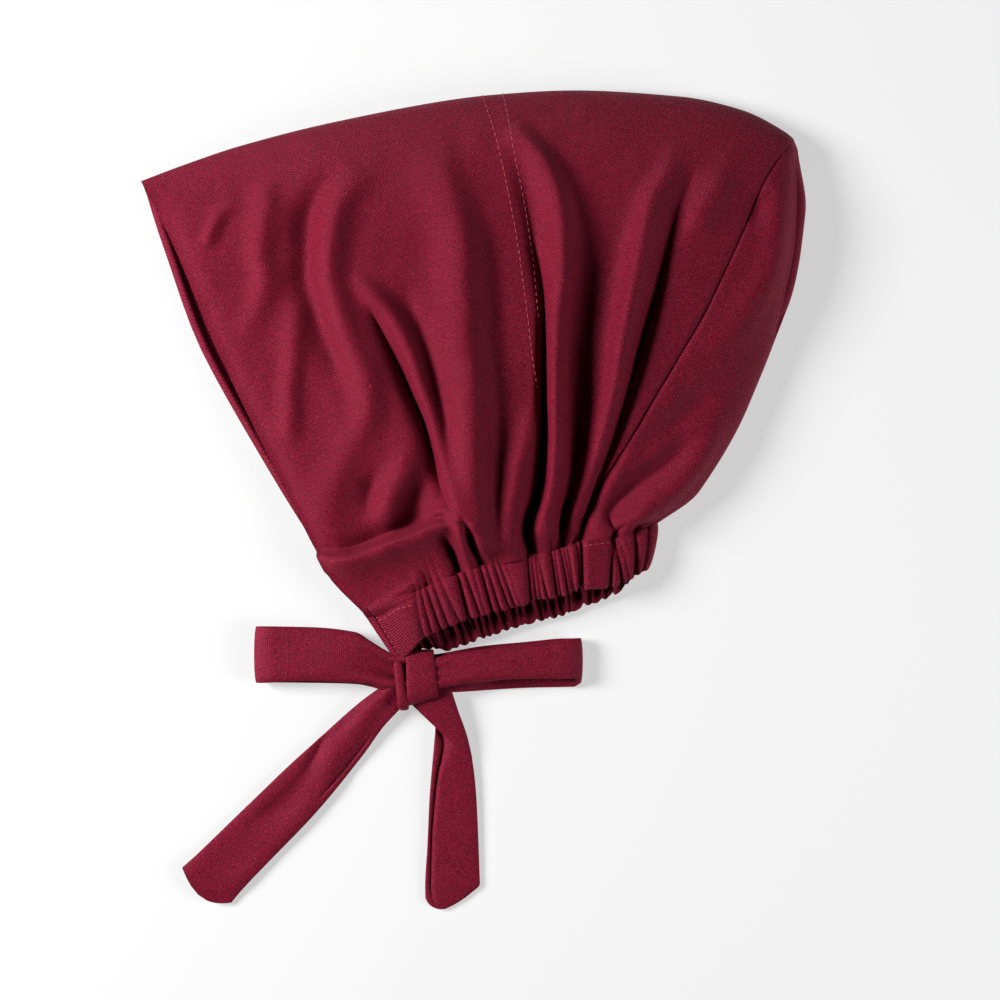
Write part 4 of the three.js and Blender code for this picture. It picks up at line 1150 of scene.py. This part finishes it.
front_panel = wrapped_panel("front_panel_cloth", 0, CROWN_SEAM, FRONT_COLUMNS)
show(front_panel, "front_panel")
crown_panel = wrapped_panel("crown_panel_cloth", CROWN_SEAM, BACK_SEAM, CROWN_COLUMNS)
show(crown_panel, "crown_panel")
show(back_panel(), "back_panel")
casing = swept("neck_casing_cloth", casing_rings()[1], turned=True)
show(casing, "neck_casing")
for thing, node, flat in (
    (bow_loop("bow_loop_front_cloth", FRONT_LOOP_SIDES, FRONT_LOOP, -1, FRONT_PLEATS),
     "bow_loop_front", (0.024, 0.14)),
    (bow_loop("bow_loop_back_cloth", BACK_LOOP_SIDES, BACK_LOOP, 1, BACK_PLEATS, 0.03),
     "bow_loop_back", (0.021, 0.14)),
    (front_tail(), "tie_tail_front", (0.024, 0.13)),
    (ribbon("tie_tail_back_cloth", TAIL_BACK_LOW, TAIL_BACK_GROOVE), "tie_tail_back", (0.024, 0.10)),
    (ribbon("tie_tail_back_turn", TAIL_BACK_FRONT), "tie_tail_back", None),
    (knot_core(), "tie_knot", None),
    (knot_band("tie_knot_broad_turn", (2.4, 1.6), width=13.2, half_length=10.9,
               height=12.6, low=0.5, slope=-3.8, thickness=1.6), "tie_knot", None),
    (knot_band("tie_knot_narrow_turn", (-7.3, -2.4), width=4.6, half_length=12.6, height=12.0,
               low=0.9, slope=0.0, thickness=3.0, lean=2.0, flatness=2.4), "tie_knot", None),
):
    show(thing, node, material=strap_cloth)
show(seam_rows(), "front_panel", material=thread)
show(casing_stitches(), "neck_casing", material=thread)

# The table, the light and the camera, in metres
TABLE_SIZE = 6
TABLE_LEVEL = -0.0002
TABLE_COLOUR = (0.29, 0.29, 0.29, 1)
TABLE_GLOW = 0.53
WHITE = (1, 1, 1, 1)
ROOM_LIGHT = 0.03
GAMMA = 0.9
CAMERA_PLACE = (0.0120, 0.0006)
CAMERA_HEIGHT = 1.5
SENSOR_WIDTH = 36
# The photograph's frame is this wide at this height above the table
FRAME_WIDTH = 0.450
FRAME_LEVEL = 0.008

bpy.ops.mesh.primitive_plane_add(size=TABLE_SIZE, location=(0, 0, TABLE_LEVEL))
floor = bpy.context.object
floor.name = "table_top"
table = plain_material("Pale table", TABLE_COLOUR, 0.8)
table_shader = table.node_tree.nodes["Principled BSDF"]
table_shader.inputs["Emission Color"].default_value = WHITE
table_shader.inputs["Emission Strength"].default_value = TABLE_GLOW
floor.data.materials.append(table)


def area_light(name, location, size, power):
    """A round soft light that faces the middle of the object."""
    data = bpy.data.lights.new(name, "AREA")
    data.shape = "DISK"
    data.size = size
    data.energy = power
    light = bpy.data.objects.new(name, data)
    light.location = location
    light.rotation_mode = "QUATERNION"
    light.rotation_quaternion = (-Vector(location)).to_track_quat("-Z", "Y")
    bpy.context.collection.objects.link(light)


area_light("Window", (-1.14, 0.22, 0.74), size=0.6, power=40.0)
area_light("Softbox", (1.10, -0.30, 0.55), size=0.65, power=11.0)

scene = bpy.context.scene
world = bpy.data.worlds.new("Room")
scene.world = world
world.use_nodes = True
world.node_tree.nodes["Background"].inputs["Color"].default_value = WHITE
world.node_tree.nodes["Background"].inputs["Strength"].default_value = ROOM_LIGHT

camera_data = bpy.data.cameras.new("Camera")
camera_data.sensor_width = SENSOR_WIDTH
camera_data.lens = SENSOR_WIDTH * (CAMERA_HEIGHT - FRAME_LEVEL) / FRAME_WIDTH
camera = bpy.data.objects.new("Camera", camera_data)
camera.location = (*CAMERA_PLACE, CAMERA_HEIGHT)
camera.rotation_euler = (0, 0, 0)
bpy.context.collection.objects.link(camera)
bpy.context.scene.camera = camera

scene.view_settings.view_transform = "Standard"
scene.view_settings.look = "None"
scene.view_settings.gamma = GAMMA
